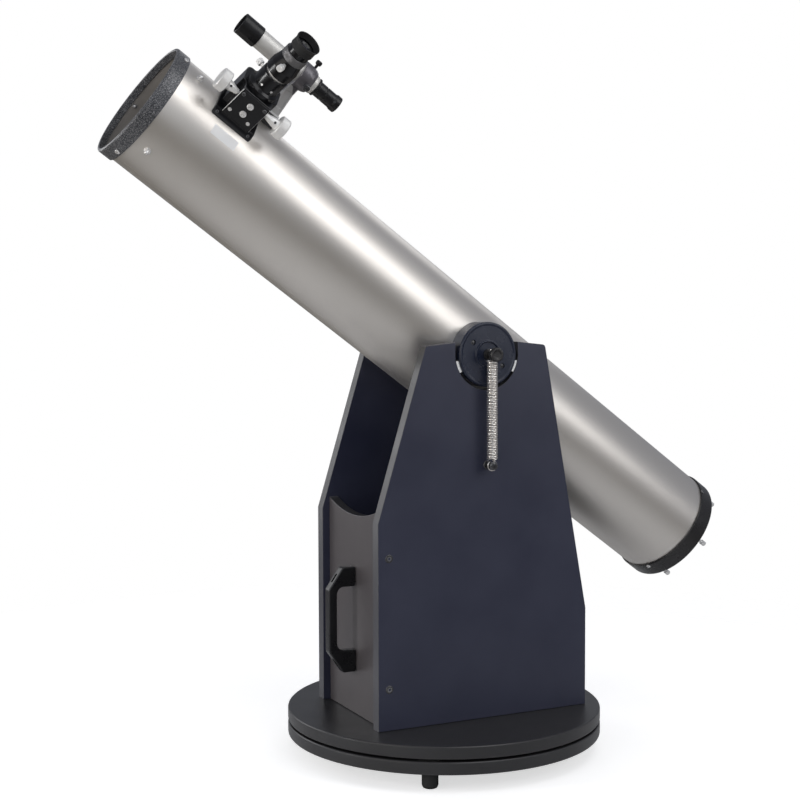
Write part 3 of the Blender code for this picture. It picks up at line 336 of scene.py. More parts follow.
def mesh_of(build):
    """A mesh made by a bmesh function, its coincident points joined."""
    def make(work):
        build(work)
        bmesh.ops.remove_doubles(work, verts=work.verts, dist=SAME_POINT)
        bmesh.ops.recalc_face_normals(work, faces=work.faces)

    return edited(bpy.data.meshes.new("shape"), make)


def around(radius, degrees):
    """The point at that radius and angle."""
    angle = math.radians(degrees)
    return radius * math.cos(angle), radius * math.sin(angle)


def arc(centre, radius, start, end, steps):
    """Points on an arc, from the start angle to the end angle in degrees."""
    points = []
    for step in range(steps + 1):
        x, y = around(radius, start + (end - start) * step / steps)
        points.append((centre[0] + x, centre[1] + y))
    return points


def rounded_rectangle(width, height, radius, steps=8):
    """The outline of a rectangle with round corners, about its centre."""
    x = width / 2 - radius
    y = height / 2 - radius
    outline = []
    for centre, start in (((x, -y), -90), ((x, y), 0), ((-x, y), 90), ((-x, -y), 180)):
        outline += arc(centre, radius, start, start + 90, steps)
    return outline


def eased(points, size, closed=True, steps=3):
    """The outline with each corner replaced by a small curve."""
    count = len(points)
    made = []
    for index, point in enumerate(points):
        if not closed and index in (0, count - 1):
            made.append(tuple(point))
            continue
        here = Vector(point)
        before = Vector(points[index - 1]) - here
        after = Vector(points[(index + 1) % count]) - here
        if before.length < 1e-7 or after.length < 1e-7:
            continue
        if math.degrees(before.angle(-after)) < SMOOTH_BEND:
            made.append(tuple(point))
            continue
        reach = min(size, 0.45 * before.length, 0.45 * after.length)
        start = here + before.normalized() * reach
        end = here + after.normalized() * reach
        for step in range(steps + 1):
            share = step / steps
            first = start.lerp(here, share)
            second = here.lerp(end, share)
            made.append(tuple(first.lerp(second, share)))
    return made


def turned(profile, sides=SMALL_SIDES, closed=False, ease=0.0, flutes=None):
    """A mesh turned about Z from (radius, z) points.  flutes is (count, depth, low, high):
    grooves along the outer side between those heights."""
    points = eased(profile, ease, closed) if ease > 0.0 else profile

    def reach(radius, z, angle):
        if radius <= 1e-6:
            return 0.0
        if flutes is None:
            return radius
        count, depth, low, high = flutes
        if low <= z <= high:
            return radius - depth * (0.5 - 0.5 * math.cos(count * angle))
        return radius

    def build(work):
        rows = []
        for radius, z in points:
            row = []
            for step in range(sides):
                angle = 2 * math.pi * step / sides
                length = reach(radius, z, angle)
                row.append(work.verts.new((length * math.cos(angle), length * math.sin(angle), z)))
            rows.append(row)
        pairs = list(zip(rows, rows[1:]))
        if closed:
            pairs.append((rows[-1], rows[0]))
        for upper, lower in pairs:
            for step in range(sides):
                following = (step + 1) % sides
                work.faces.new((upper[step], lower[step], lower[following], upper[following]))

    return mesh_of(build)


def axis_to_axis(profile):
    """The profile with a flat face out to each end from the axis."""
    return [(0.0, profile[0][1]), *profile, (0.0, profile[-1][1])]


def solid(profile, sides=SMALL_SIDES, ease=0.0004):
    """A mesh turned about Z, flat at both ends of the profile."""
    return turned(axis_to_axis(profile), sides, ease=ease)


def ring(profile, sides, ease=0.0004):
    """A mesh turned about Z from a closed profile."""
    return turned(profile, sides, closed=True, ease=ease)


def refined(profile, longest):
    """The profile with long runs split, so that a fluted side has enough points."""
    made = []
    for first, second in zip(profile, profile[1:]):
        pieces = max(1, math.ceil((Vector(second) - Vector(first)).length / longest))
        for step in range(pieces):
            made.append(tuple(Vector(first).lerp(Vector(second), step / pieces)))
    made.append(tuple(profile[-1]))
    return made


def curve_of(dimensions, bevel, rows, closed):
    """A curve through rows of points, its section rounded to the bevel."""
    curve = bpy.data.curves.new("curve", "CURVE")
    curve.dimensions = dimensions
    curve.bevel_depth = bevel
    curve.bevel_resolution = 2
    for points in rows:
        spline = curve.splines.new("POLY")
        spline.points.add(len(points) - 1)
        for point, place in zip(spline.points, points):
            point.co = (*Vector(place).to_3d(), 1.0)
        spline.use_cyclic_u = closed
    return curve


def plate(outline, thickness, rounding, matrix=None, holes=()):
    """A flat outline, thick along Z about its middle, with rounded rims."""
    curve = curve_of("2D", rounding, (outline, *holes), True)
    curve.fill_mode = "BOTH"
    curve.extrude = thickness / 2 - rounding
    curve.offset = -rounding
    mesh = baked(bpy.data.objects.new("outline", curve))
    if matrix is not None:
        mesh.transform(matrix)
    return mesh


def swept(points, radius):
    """A round wire along a row of points."""
    curve = curve_of("3D", radius, [points], False)
    curve.use_fill_caps = True
    return baked(bpy.data.objects.new("wire", curve))


def baked(item):
    """The item's final mesh; the item itself is removed."""
    SCENE.collection.objects.link(item)
    bpy.context.view_layer.update()
    evaluated = item.evaluated_get(bpy.context.evaluated_depsgraph_get())
    mesh = bpy.data.meshes.new_from_object(evaluated)
    bpy.data.objects.remove(item, do_unlink=True)
    mesh.materials.clear()

    def clean(work):
        bmesh.ops.remove_doubles(work, verts=work.verts, dist=SAME_POINT_CUT)
        bmesh.ops.dissolve_degenerate(work, dist=0.000001, edges=work.edges)
        bmesh.ops.recalc_face_normals(work, faces=work.faces)

    return edited(mesh, clean)


def block(size, centre=(0.0, 0.0, 0.0), rounding=0.0, segments=3):
    """A box mesh about its centre with rounded edges, for joining or cutting."""
    def build(work):
        bmesh.ops.create_cube(work, size=1.0)
        bmesh.ops.scale(work, vec=size, verts=work.verts)
        if rounding > 0.0:
            bmesh.ops.bevel(
                work, geom=work.edges[:], offset=rounding, segments=segments, affect="EDGES", profile=0.5)
        bmesh.ops.translate(work, vec=centre, verts=work.verts)
    return mesh_of(build)


def rod(radius, low, high, sides, ease=0.0):
    """A plain round bar along Z."""
    return solid([(radius, high), (radius, low)], sides, ease)


def knurled(profile, ease, sides, flutes, longest=0.002):
    """A solid with a fluted grip; the flutes are as turned describes them."""
    points = axis_to_axis(profile)
    if ease > 0.0:
        points = eased(points, ease, False)
    return turned(refined(points, longest), sides, flutes=flutes)


def hexagon(radius):
    """A hexagon's outline."""
    return arc((0.0, 0.0), radius, 0, 300, 5)


def moved(mesh, matrix):
    """A copy of the mesh, moved."""
    made = mesh.copy()
    made.transform(matrix)
    return made


def bore(radius, low, high, sides, matrix=None):
    """A Boolean step that drills along the matrix's Z."""
    drill = rod(radius, low, high, sides)
    if matrix is not None:
        drill.transform(matrix)
    return "DIFFERENCE", drill


def combined(mesh, steps, rounding=0.0):
    """The mesh after a row of Booleans, each ("UNION" or "DIFFERENCE" or "INTERSECT", mesh)."""
    item = bpy.data.objects.new("work", mesh)
    tools = []
    for operation, tool_mesh in steps:
        tool = bpy.data.objects.new("tool", tool_mesh)
        SCENE.collection.objects.link(tool)
        tools.append(tool)
        modifier = item.modifiers.new(operation, "BOOLEAN")
        modifier.operation = operation
        modifier.object = tool
        modifier.solver = "EXACT"
    if rounding > 0.0:
        modifier = item.modifiers.new("ease", "BEVEL")
        modifier.width = rounding
        modifier.segments = 2
        modifier.limit_method = "ANGLE"
        modifier.angle_limit = math.radians(SHARP)
    made = baked(item)
    for tool in tools:
        bpy.data.objects.remove(tool, do_unlink=True)
    return made


def gathered(meshes):
    """Several meshes as one."""
    work = bmesh.new()
    for mesh in meshes:
        work.from_mesh(mesh)
    made = bpy.data.meshes.new("shape")
    work.to_mesh(made)
    work.free()
    return made


# ---- adding pieces
def detail(name, mesh, look, matrix, like):
    """A piece of the visual model that rides with a CAD node."""
    mesh.name = name
    mesh.materials.clear()
    looks = look if isinstance(look, list) else [look]
    for one in looks:
        mesh.materials.append(one)
    mesh.shade_smooth()
    mesh.set_sharp_from_angle(angle=math.radians(SHARP))
    piece = bpy.data.objects.new(name, mesh)
    SCENE.collection.objects.link(piece)
    even = piece.modifiers.new("even_shading", "WEIGHTED_NORMAL")
    even.keep_sharp = True
    piece.matrix_world = matrix
    body = frame["nodes"][like]["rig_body"]
    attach(piece, body)
    return piece


def stand_in(node, mesh, look, matrix):
    """The fine piece that is shown in a CAD node's place."""
    piece = detail(node + "_fine", mesh, look, matrix, node)
    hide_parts(node)
    return piece


def second_finish(piece, chosen):
    """Give the piece's second finish to the faces for which chosen(face) is true."""
    for face in piece.data.polygons:
        face.material_index = 1 if chosen(face) else 0


# ---- fasteners
def cross_head():
    """A domed screw head of radius 1 with a cross recess; its seat is at z = 0."""
    height = 0.62
    dome = 0.35
    profile = [(0.0, height)]
    for step in range(1, 7):
        angle = math.radians(15.0 * step)
        profile.append((math.sin(angle), height * (1 - dome + dome * math.cos(angle))))
    profile += [(1.0, height * 0.2), (0.96, 0.0), (0.0, 0.0)]
    slots = []
    for degrees in (25.0, 115.0):
        cutter = block((1.15, 0.24, height), (0.0, 0.0, height))
        slots.append(("DIFFERENCE", moved(cutter, turn(degrees, "Z"))))
    return combined(turned(profile, 32), slots)


CROSS_HEAD = cross_head()


def screw(name, radius, look, matrix, like):
    """A cross-head screw of that radius, its seat on the matrix's XY plane."""
    return detail(name, moved(CROSS_HEAD, Matrix.Scale(radius, 4)), look, matrix, like)


def grub_screw(name, bore_radius, floor, look, matrix, like):
    """The end of a set screw: a low disc with a round recess down to the floor height."""
    profile = [(0.0, floor), (bore_radius, floor), (bore_radius + 0.0001, 0.0007), (0.0017, 0.0007),
               (0.0019, 0.0), (0.0, 0.0)]
    detail(name, turned(profile, 24, ease=0.0001), look, matrix, like)


def on_tube(along, roll, height=0.0):
    """A place on the tube's skin: Z outwards, X towards the tube's front."""
    return tube_station(along, roll) @ placed(z=TUBE_RADIUS + height)


# ---- base
def make_base():
    pivot = 0.0043
    bolt_head = hexagon(0.0075)
    foot_circle = 0.225
    pad_height = 0.04975
    for node, low in (("ground_board", GROUND_BOTTOM), ("azimuth_board", TURNTABLE_BOTTOM)):
        high = low + BOARD
        profile = [(BASE_RADIUS, high), (BASE_RADIUS, low), (pivot, low), (pivot, high)]
        stand_in(node, ring(profile, 256, 0.0032), BASE_BOARD, BASE)
    for number, azimuth in enumerate((-122.7, -2.7, 117.3), start=1):
        x, y = around(foot_circle, azimuth)
        foot = [(0.0135, 0.0277), (0.0133, 0.0215), (0.0127, 0.0207), (0.0127, 0.005), (0.011, 0.0012),
                (0.0085, 0.0)]
        stand_in("foot_%d" % number, solid(foot, ease=0.0008), RUBBER, BASE @ placed(x, y))
        pad = plate(rounded_rectangle(0.022, 0.034, 0.003), 0.0029, 0.0004)
        stand_in("azimuth_pad_%d" % number, pad, WHITE_PLASTIC,
                 BASE @ placed(x, y, pad_height) @ turn(azimuth, "Z"))
    head = plate(bolt_head, 0.0065, 0.0005, placed(z=0.02445))
    shank = solid([(0.0034, 0.0835), (0.004, 0.0829), (0.004, 0.027)], 32)
    stand_in("pivot_bolt", gathered([head, shank]), SCREW_BLACK, BASE)
    hole = arc((0.0, 0.0), pivot, 0, 345, 23)
    nut = plate(bolt_head, 0.0074, 0.0005, placed(z=0.0771), [hole])
    washer = ring([(0.012, 0.0734), (0.012, 0.0718), (pivot, 0.0718), (pivot, 0.0734)], 64)
    stand_in("pivot_nut", gathered([nut, washer]), SCREW_STEEL, BASE)


# ---- rocker box
def side_outline():
    outline = [(-0.173, BOX_FOOT), (0.2, BOX_FOOT), (0.2, 0.2305)]
    outline += arc((0.1165, 0.6552), 0.006, 10, 85, 8)
    outline += [(0.0713, 0.666)]
    outline += arc((ALTITUDE_X, ALTITUDE_Z), CRADLE_RADIUS, 0, -180, 64)
    outline += [(-0.0397, 0.666)]
    outline += arc((-0.0865, 0.6552), 0.006, 95, 165, 8)
    outline += [(-0.173, 0.3915)]
    return outline


def board_edge(face):
    """Whether the face is on a flat board's edge band."""
    return abs(face.normal.z) <= 0.8


def make_side_board(name, side):
    board = plate(side_outline(), BOARD, 0.001)
    piece = stand_in("side_board_" + name, board, [LAMINATE, EDGE_BAND],
                     BASE @ placed(y=side * (BOX_HALF_WIDTH - BOARD / 2)) @ UPRIGHT)
    second_finish(piece, board_edge)
    screw_x = -0.1546
    face = side * (BOX_HALF_WIDTH - 0.0002)
    for number, height in enumerate((0.136, 0.338), start=1):
        place = BASE @ placed(screw_x, face, height) @ aimed((0.0, side, 0.0))
        cap = turned([(0.0, 0.0011), (0.004, 0.0013), (0.0056, 0.0013), (0.0064, 0.0006), (0.0065, 0.0),
                      (0.0, 0.0)], ease=0.0003)
        socket = plate(hexagon(0.0024), 0.004, 0.0001)
        cap = combined(cap, [("DIFFERENCE", socket)])
        detail("board_screw_%s_%d" % (name, number), cap, SCREW_BLACK, place, "side_board_" + name)


def make_front_board():
    half = 0.0977
    low = 0.392
    sag = 0.018
    radius = (half ** 2 + sag ** 2) / (2 * sag)
    reach = math.degrees(math.asin(half / radius))
    outline = [(-half, BOX_FOOT), (half, BOX_FOOT)]
    outline += arc((0.0, low + radius), radius, -90 + reach, -90 - reach, 48)
    piece = stand_in("front_board", plate(outline, 0.016, 0.0012), [FRONT_BOARD_WITH_PAINTED_LIGHT, EDGE_BAND],
                     BASE @ placed(x=-0.153) @ ACROSS)
    second_finish(piece, board_edge)


def make_cradle_pads():
    centre = (ALTITUDE_X, ALTITUDE_Z)
    for name, side in SIDES.items():
        for end, middle in (("front", 201.0), ("rear", -21.0)):
            outline = arc(centre, CRADLE_RADIUS - GAP, middle - 10, middle + 10, 16)
            outline += arc(centre, BEARING_RADIUS + GAP, middle + 10, middle - 10, 16)
            stand_in("cradle_pad_%s_%s" % (name, end), plate(outline, BOARD - 0.001, 0.0004), WHITE_PLASTIC,
                     BASE @ placed(y=side * (BOX_HALF_WIDTH - BOARD / 2)) @ UPRIGHT)


def make_handle():
    screw_heights = (0.1572, 0.293)
    board = -0.1613
    outer = -0.2075
    inner = -0.1933
    knee = -0.1835
    outline = [
        (board, 0.1407), (board, 0.176), (inner + 0.009, 0.177), (inner + 0.003, 0.18), (inner, 0.187),
        (inner, 0.2675), (inner + 0.003, 0.2755), (inner + 0.009, 0.2785), (board, 0.2785), (board, 0.3095),
        (knee, 0.3095), (outer, 0.2755), (outer, 0.176), (knee + 0.001, 0.1407)]
    outline.reverse()
    grip = plate(eased(outline, 0.003, steps=4), 0.0166, 0.0022)
    slots = []
    for height in screw_heights:
        pocket = block((0.03, 0.013, 0.0052), (-0.1863, height, 0.0), 0.001, 2)
        slots.append(("DIFFERENCE", pocket))
    stand_in("carry_handle", combined(grip, slots), BLACK_PLASTIC, BASE @ UPRIGHT)
    for number, height in enumerate(screw_heights, start=1):
        place = BASE @ placed(-0.1722, 0.0, height) @ aimed((-1.0, 0.0, 0.0))
        screw("handle_screw_%d" % number, 0.0024, SCREW_BLACK, place, "carry_handle")


def make_spring(name, side):
    """A close-coiled spring with a hook at each end."""
    mean = 0.0077
    wire = 0.00105
    low = 0.474
    high = ALTITUDE_Z
    turns = 56
    steps = 20
    total = turns * steps
    points = [(x, 0.0, z) for x, z in arc((0.0, low), mean, 130, 440, 31)]
    coil_low = low + mean + 0.0016
    coil_high = high - mean - 0.0016
    for step in range(1, total):
        angle = 2 * math.pi * step / steps
        reach = mean * min(1.0, 4 * step / steps, 4 * (total - step) / steps)
        points.append((reach * math.sin(angle), -reach * math.cos(angle),
                       coil_low + (coil_high - coil_low) * step / total))
    points += [(x, 0.0, z) for x, z in arc((0.0, high), mean, -80, 120, 20)]
    stand_in("tension_spring_" + name, swept(points, wire), SPRING_STEEL,
             BASE @ placed(ALTITUDE_X, side * 0.135, 0.0))
    anchor = [(0.0, 0.1425), (0.0045, 0.142), (0.0068, 0.1404), (0.0068, 0.1388), (0.0038, 0.1382),
              (0.0038, 0.1213), (0.007, 0.1213), (0.007, 0.1183), (0.0, 0.1183)]
    stand_in("spring_anchor_" + name, turned(anchor, ease=0.0005), SCREW_BLACK,
             BASE @ placed(ALTITUDE_X, 0.0, low) @ aimed((0.0, side, 0.0)))


# ---- optical tube
def make_tube():
    inner = TUBE_RADIUS - TUBE_WALL
    stations = [TUBE_FRONT + (TUBE_REAR - TUBE_FRONT) * step / 24 for step in range(25)]
    profile = [(TUBE_RADIUS, s) for s in stations] + [(inner, s) for s in reversed(stations)]
    shell = turned(profile, ROUND_SIDES, closed=True)
    shell = combined(shell, [bore(0.0235, 0.05, 0.12, 64, TUBE.inverted() @ FOCUSER)])
    piece = stand_in("optical_tube", shell, [PAINT, MATT_BLACKING], TUBE)
    second_finish(piece, lambda face: face.normal.xy.dot(face.center.xy.normalized()) <= 0.2)
    seam_height = 0.00022
    seam_roll = 171.0
    label_station = 0.5245
    label_roll = 83.0
    seam = block((0.0014, TUBE_FRONT - TUBE_REAR - 0.05, seam_height + 0.0001), rounding=0.00012, segments=2)
    place = tube_station((TUBE_FRONT + TUBE_REAR) / 2, seam_roll)
    place = place @ placed(z=TUBE_RADIUS - 0.0001 + seam_height / 2) @ turn(90.0, "Z")
    detail("tube_seam", seam, PAINT, place, "optical_tube")
    label = curved_patch(0.043, 10.0, TUBE_RADIUS + 0.00012)
    detail("tube_label", label, STICKER, tube_station(label_station, label_roll), "optical_tube")


def curved_patch(length, degrees, radius):
    """A thin sticker with round corners, bent round the tube; its middle faces +Z."""
    width = math.radians(degrees) * radius
    cuts = 12

    def bend(work):
        for step in range(1, cuts):
            offset = width * (step / cuts - 0.5)
            geometry = work.verts[:] + work.edges[:] + work.faces[:]
            bmesh.ops.bisect_plane(
                work, geom=geometry, plane_co=(0.0, offset, 0.0), plane_no=(0.0, 1.0, 0.0))
        for vertex in work.verts:
            angle = vertex.co.y / radius
            reach = radius + vertex.co.z
            vertex.co.y = reach * math.sin(angle)
            vertex.co.z = reach * math.cos(angle)

    return edited(plate(rounded_rectangle(length, width, 0.0012, 4), 0.0002, 0.00005), bend)


FRONT_RING = [
    (TUBE_RADIUS, 0.643), (0.0942, 0.642), (RING_RADIUS, 0.64), (RING_RADIUS, 0.6206), (0.0944, 0.62),
    (TUBE_CUT, 0.62), (TUBE_CUT, 0.6323), (0.0895, 0.6323), (0.0895, 0.642), (0.0905, 0.643)]
REAR_RING = [
    (0.0944, -0.513), (RING_RADIUS, -0.5136), (RING_RADIUS, -0.539), (0.0942, -0.541), (TUBE_RADIUS, -0.542),
    (0.089, -0.542), (0.088, -0.5405), (0.056, -0.5405), (0.056, -0.5345), (TUBE_CUT, -0.5345),
    (TUBE_CUT, -0.513)]
BOLT_CIRCLE = 0.083
BOLT_ROLL = 35.0


def bolt_place(number):
    """The axis of one of the six cell bolts, on the tube's own Z."""
    return TUBE @ placed(*around(BOLT_CIRCLE, -(BOLT_ROLL + 60.0 * number)))


def make_end_rings():
    stand_in("front_ring", ring(FRONT_RING, ROUND_SIDES, 0.0006), HAMMERED, TUBE)
    bores = [bore(0.0033, -0.56, -0.52, 24, TUBE.inverted() @ bolt_place(number)) for number in range(6)]
    stand_in("rear_ring", combined(ring(REAR_RING, ROUND_SIDES, 0.0006), bores), SATIN_BLACK, TUBE)
    ring_height = RING_RADIUS - TUBE_RADIUS
    screw_station = 0.627
    for number, roll in enumerate((39.0, 159.0, 279.0), start=1):
        screw("front_ring_screw_%d" % number, 0.0039, SCREW_STEEL, on_tube(screw_station, roll, ring_height),
              "front_ring")
        inside = on_tube(screw_station, roll, -TUBE_WALL) @ turn(180.0, "X")
        nut = plate(hexagon(0.0036), 0.0024, 0.0003, placed(z=0.0012))
        detail("front_ring_nut_%d" % number, nut, SCREW_BLACK, inside, "optical_tube")
        tip = turned([(0.0, 0.0044), (0.0018, 0.0041), (0.0022, 0.0034), (0.0022, 0.002), (0.0, 0.002)], 24)
        detail("front_ring_screw_tip_%d" % number, tip, SCREW_STEEL, inside, "optical_tube")
    for number, roll in enumerate((43.0, 157.0, 277.0), start=1):
        look = SCREW_BLACK if number == 1 else SCREW_STEEL
        screw("rear_ring_screw_%d" % number, 0.0035, look, on_tube(-0.516, roll, ring_height), "rear_ring")


def make_mirror_cell():
    carrier = rod(0.0905, -0.5235, -0.5165, ROUND_SIDES, 0.0008)
    holes = [bore(0.022, -0.54, -0.5, 64)]
    for number in range(3):
        x, y = around(0.048, -(BOLT_ROLL + 60.0 + 120.0 * number))
        holes.append(bore(0.016, -0.54, -0.5, 48, placed(x, y)))
    stand_in("mirror_carrier", combined(carrier, holes), SATIN_BLACK, TUBE)
    radius = 0.076
    hollow = []
    for step in range(13):
        share = step / 12
        hollow.append(((radius - 0.001) * share, -0.489 - 0.0012 * (1 - share ** 2)))
    profile = hollow + [(radius, -0.49), (radius, -0.512), (0.0, -0.512)]
    stand_in("primary_mirror", turned(profile, ROUND_SIDES), MIRROR, TUBE)
    threads = 26
    bolt = [(0.0, -0.524)]
    for step in range(threads + 1):
        bolt.append((0.003 if step % 2 else 0.00275, -0.5242 - 0.0282 * step / threads))
    bolt += [(0.0042, -0.5531), (0.0042, -0.5602), (0.0036, -0.561), (0.0012, -0.561), (0.001, -0.56),
             (0.0, -0.56)]
    for number in range(6):
        kind = "collimation_bolt" if number % 2 == 0 else "lock_bolt"
        stand_in("%s_%d" % (kind, number // 2 + 1), turned(bolt, 32, ease=0.0002), SCREW_STEEL,
                 bolt_place(number))


def make_spider():
    station = 0.598
    vane_roll = 47.75
    hub = solid([(0.0118, 0.014), (0.013, 0.0128), (0.013, -0.0128), (0.0118, -0.014)], ease=0.0006)
    vane = block((0.1812, 0.0012, 0.022), rounding=0.0003, segments=1)
    steps = [("UNION", moved(vane, turn(-vane_roll - quarter, "Z"))) for quarter in (0.0, 90.0)]
    stand_in("spider", combined(hub, steps), SATIN_BLACK, TUBE @ placed(z=station))
    for number in range(3):
        x, y = around(0.0085, 20.0 + 120.0 * number)
        screw("spider_hub_screw_%d" % number, 0.0018, SCREW_STEEL, TUBE @ placed(x, y, station + 0.0139),
              "spider")
    for number in range(4):
        nut = plate(hexagon(0.005), 0.003, 0.0004, placed(z=0.0023))
        dome = turned([(0.0, 0.0078), (0.0016, 0.0075), (0.0028, 0.0067), (0.0036, 0.0053), (0.0038, 0.0036),
                       (0.0, 0.0036)], 32)
        detail("spider_nut_%d" % (number + 1), gathered([nut, dome, rod(0.0056, 0.0, 0.0009, 40, 0.0003)]),
               SCREW_STEEL, on_tube(station, vane_roll + 90.0 * number), "optical_tube")


def make_secondary():
    facing = (TUBE.inverted() @ FOCUSER @ turn(45.0, "Y")).to_3x3() @ Vector((-1.0, 0.0, 0.0))
    middle = Vector((0.0, 0.0, FOCUSER_STATION))
    body = rod(0.0165, 0.496, 0.568, 64, 0.0008)
    neck = rod(0.008, 0.566, 0.5837, 32, 0.0004)
    thickness = 0.006
    half = 0.05
    wide = 0.2
    place = Matrix.Translation(middle + facing * (half - thickness - GAP)) @ aimed(facing)
    slope = moved(block((wide, wide, 2 * half)), place)
    stand_in("secondary_holder", combined(body, [("UNION", neck), ("DIFFERENCE", slope)]), SATIN_BLACK, TUBE)
    glass_rod = rod(0.0185, FOCUSER_STATION - 0.04, FOCUSER_STATION + 0.04, 64)
    place = Matrix.Translation(middle - facing * (thickness / 2)) @ aimed(facing)
    slab = moved(block((wide, wide, thickness)), place)
    stand_in("secondary_mirror", combined(glass_rod, [("INTERSECT", slab)], 0.0003), MIRROR, TUBE)


# ---- side bearings
def make_side_bearing(name, side):
    outward = ALTITUDE @ aimed((0.0, side, 0.0))
    profile = [(0.0185, 0.121), (0.0195, 0.1232), (0.0215, 0.1232), (0.0225, 0.121), (0.045, 0.121),
               (0.0465, 0.122), (0.049, 0.122), (BEARING_RADIUS, 0.12), (BEARING_RADIUS, 0.08)]
    tube = outward.inverted() @ TUBE
    along_tube = tube.to_3x3() @ Vector((0.0, 0.0, 1.0))
    centres = [(along_tube * (0.0317 * sign)).xy for sign in (1.0, -1.0)]
    steps = [bore(TUBE_CUT, -0.1, 0.1, ROUND_SIDES, tube)]
    steps += [bore(0.0042, 0.1175, 0.13, 32, placed(*centre)) for centre in centres]
    bearing = combined(solid(profile, MEDIUM_SIDES, 0.0006), steps)
    stand_in("side_bearing_" + name, bearing, NAVY_PLASTIC, outward)
    for number, centre in enumerate(centres, start=1):
        screw("bearing_screw_%s_%d" % (name, number), 0.0036, SCREW_BLACK, outward @ placed(*centre, 0.1173),
              "side_bearing_" + name)
    head = [(0.006, 0.1507), (0.0066, 0.1515), (0.0098, 0.1515), (0.0112, 0.15), (0.0112, 0.1446),
            (0.01, 0.1441), (0.005, 0.1441), (0.005, 0.1252), (0.0085, 0.1252), (0.0085, 0.1214)]
    knob = knurled(head, 0.0004, 144, (24, 0.0006, 0.1448, 0.1497))
    stand_in("spring_knob_" + name, knob, SATIN_BLACK, outward)


# ---- focuser
HOUSING_FACE = 0.028
HOUSING_TOP = 0.149
HOUSING_LOW = 0.088
NECK_RADIUS = 0.0214
BLOCK_HALF = 0.0245
COVER_LOW = 0.0968
COVER_HIGH = 0.1483
PINION_Y = 0.0215
PINION_Z = 0.1325
EYEPIECE_SCREW_Z = 0.212
LOCK_SCREW_Z = 0.1715
EYEPIECE_SCREW_AIM = (math.sin(math.radians(17.0)), math.cos(math.radians(17.0)), 0.0)
LOCK_SCREW_AIM = (math.cos(math.radians(35.0)), -math.sin(math.radians(35.0)), 0.0)


def make_housing():
    length = 0.0704
    half = 0.034
    flange = [(-half, 0.078), (half, 0.078), (half, 0.0865), (BLOCK_HALF, 0.096), (-BLOCK_HALF, 0.096),
              (-half, 0.0865)]
    saddle = plate(eased(flange, 0.0016), length, 0.0008, ACROSS)
    trim = plate(rounded_rectangle(length, 2 * half, 0.004), 0.1, 0.0006, placed(z=0.09))
    outline = arc((-0.022, -0.021), 0.009, 180, 270, 10) + arc((0.022, -0.021), 0.009, 270, 360, 10)
    outline += [(0.031, 0.006), (BLOCK_HALF, 0.0125), (BLOCK_HALF, HOUSING_FACE)]
    outline += [(-BLOCK_HALF, HOUSING_FACE), (-BLOCK_HALF, 0.0125), (-0.031, 0.006)]
    body = plate(
        eased(outline, 0.0015), HOUSING_TOP - HOUSING_LOW, 0.0012, placed(z=(HOUSING_TOP + HOUSING_LOW) / 2))
    neck = solid([(0.0206, 0.1845), (NECK_RADIUS, 0.1837), (NECK_RADIUS, 0.16), (0.0262, 0.157),
                  (0.0262, 0.14)], MEDIUM_SIDES, ease=0.0008)
    rack_slot = block((0.0082, 0.012, 0.105), (0.0, 0.0125, 0.1225))
    pinion_pocket = block((0.02, 0.012, 0.016), (0.0, HOUSING_FACE - 0.003, PINION_Z))
    steps = [
        ("INTERSECT", trim), ("UNION", body), ("UNION", neck),
        bore(TUBE_CUT, -0.1, 0.1, ROUND_SIDES, ALONG_X), bore(0.0179, 0.06, 0.2, MEDIUM_SIDES),
        ("DIFFERENCE", rack_slot), ("DIFFERENCE", pinion_pocket),
        bore(0.0033, -0.05, 0.05, 24, placed(0.0, PINION_Y, PINION_Z) @ ALONG_X),
        bore(0.0034, 0.01, 0.05, 24, placed(z=LOCK_SCREW_Z) @ aimed(LOCK_SCREW_AIM))]
    stand_in("focuser_housing", combined(saddle, steps), BLACK_METAL, FOCUSER)
    for number, (x, y) in enumerate(((1, 1), (1, -1), (-1, 1), (-1, -1)), start=1):
        slope = aimed((0.0, y * 0.707, 0.707))
        place = FOCUSER @ placed(x * 0.0285, y * 0.0298, 0.0905) @ slope
        screw("focuser_flange_screw_%d" % number, 0.0024, SCREW_BLACK, place, "focuser_housing")
    for number, x in enumerate((-0.0085, 0.0085), start=1):
        y = math.sqrt(NECK_RADIUS ** 2 - x ** 2)
        grub_screw("neck_grub_screw_%d" % number, 0.0009, 0.0003, SCREW_STEEL,
                   FOCUSER @ placed(x, y - 0.0003, 0.1665) @ aimed((x, y, 0.0)), "focuser_housing")


def make_pinion_cover():
    thickness = 0.003
    inner = HOUSING_FACE + GAP
    cover = plate(
        rounded_rectangle(2 * BLOCK_HALF, COVER_HIGH - COVER_LOW, 0.0015), thickness, 0.0009, UPRIGHT)
    piece = stand_in("pinion_cover", cover, [BLACK_METAL, SATIN_SILVER],
                     FOCUSER @ placed(0.0, inner + thickness / 2, (COVER_HIGH + COVER_LOW) / 2))
    # The black cover's side faces take the satin silver finish: a painted highlight along its edges.
    second_finish(piece, lambda face: abs(face.normal.x) > 0.35)
    screws = (
        ("pinion_screw_1", 0.0052, SCREW_STEEL, 0.0, 0.1335),
        ("pinion_screw_2", 0.0052, SCREW_STEEL, 0.0, 0.1165),
        ("cover_screw_1", 0.0029, SCREW_STEEL, 0.0185, 0.1085),
        ("cover_screw_2", 0.0029, SCREW_STEEL, -0.015, 0.1085),
        ("cover_screw_3", 0.0029, SCREW_BLACK, -0.0195, 0.1425),
        ("cover_screw_4", 0.0029, SCREW_BLACK, 0.0195, 0.1425))
    for name, radius, look, x, z in screws:
        place = FOCUSER @ placed(x, inner + thickness, z) @ aimed((0.0, 1.0, 0.0))
        screw(name, radius, look, place, "pinion_cover")


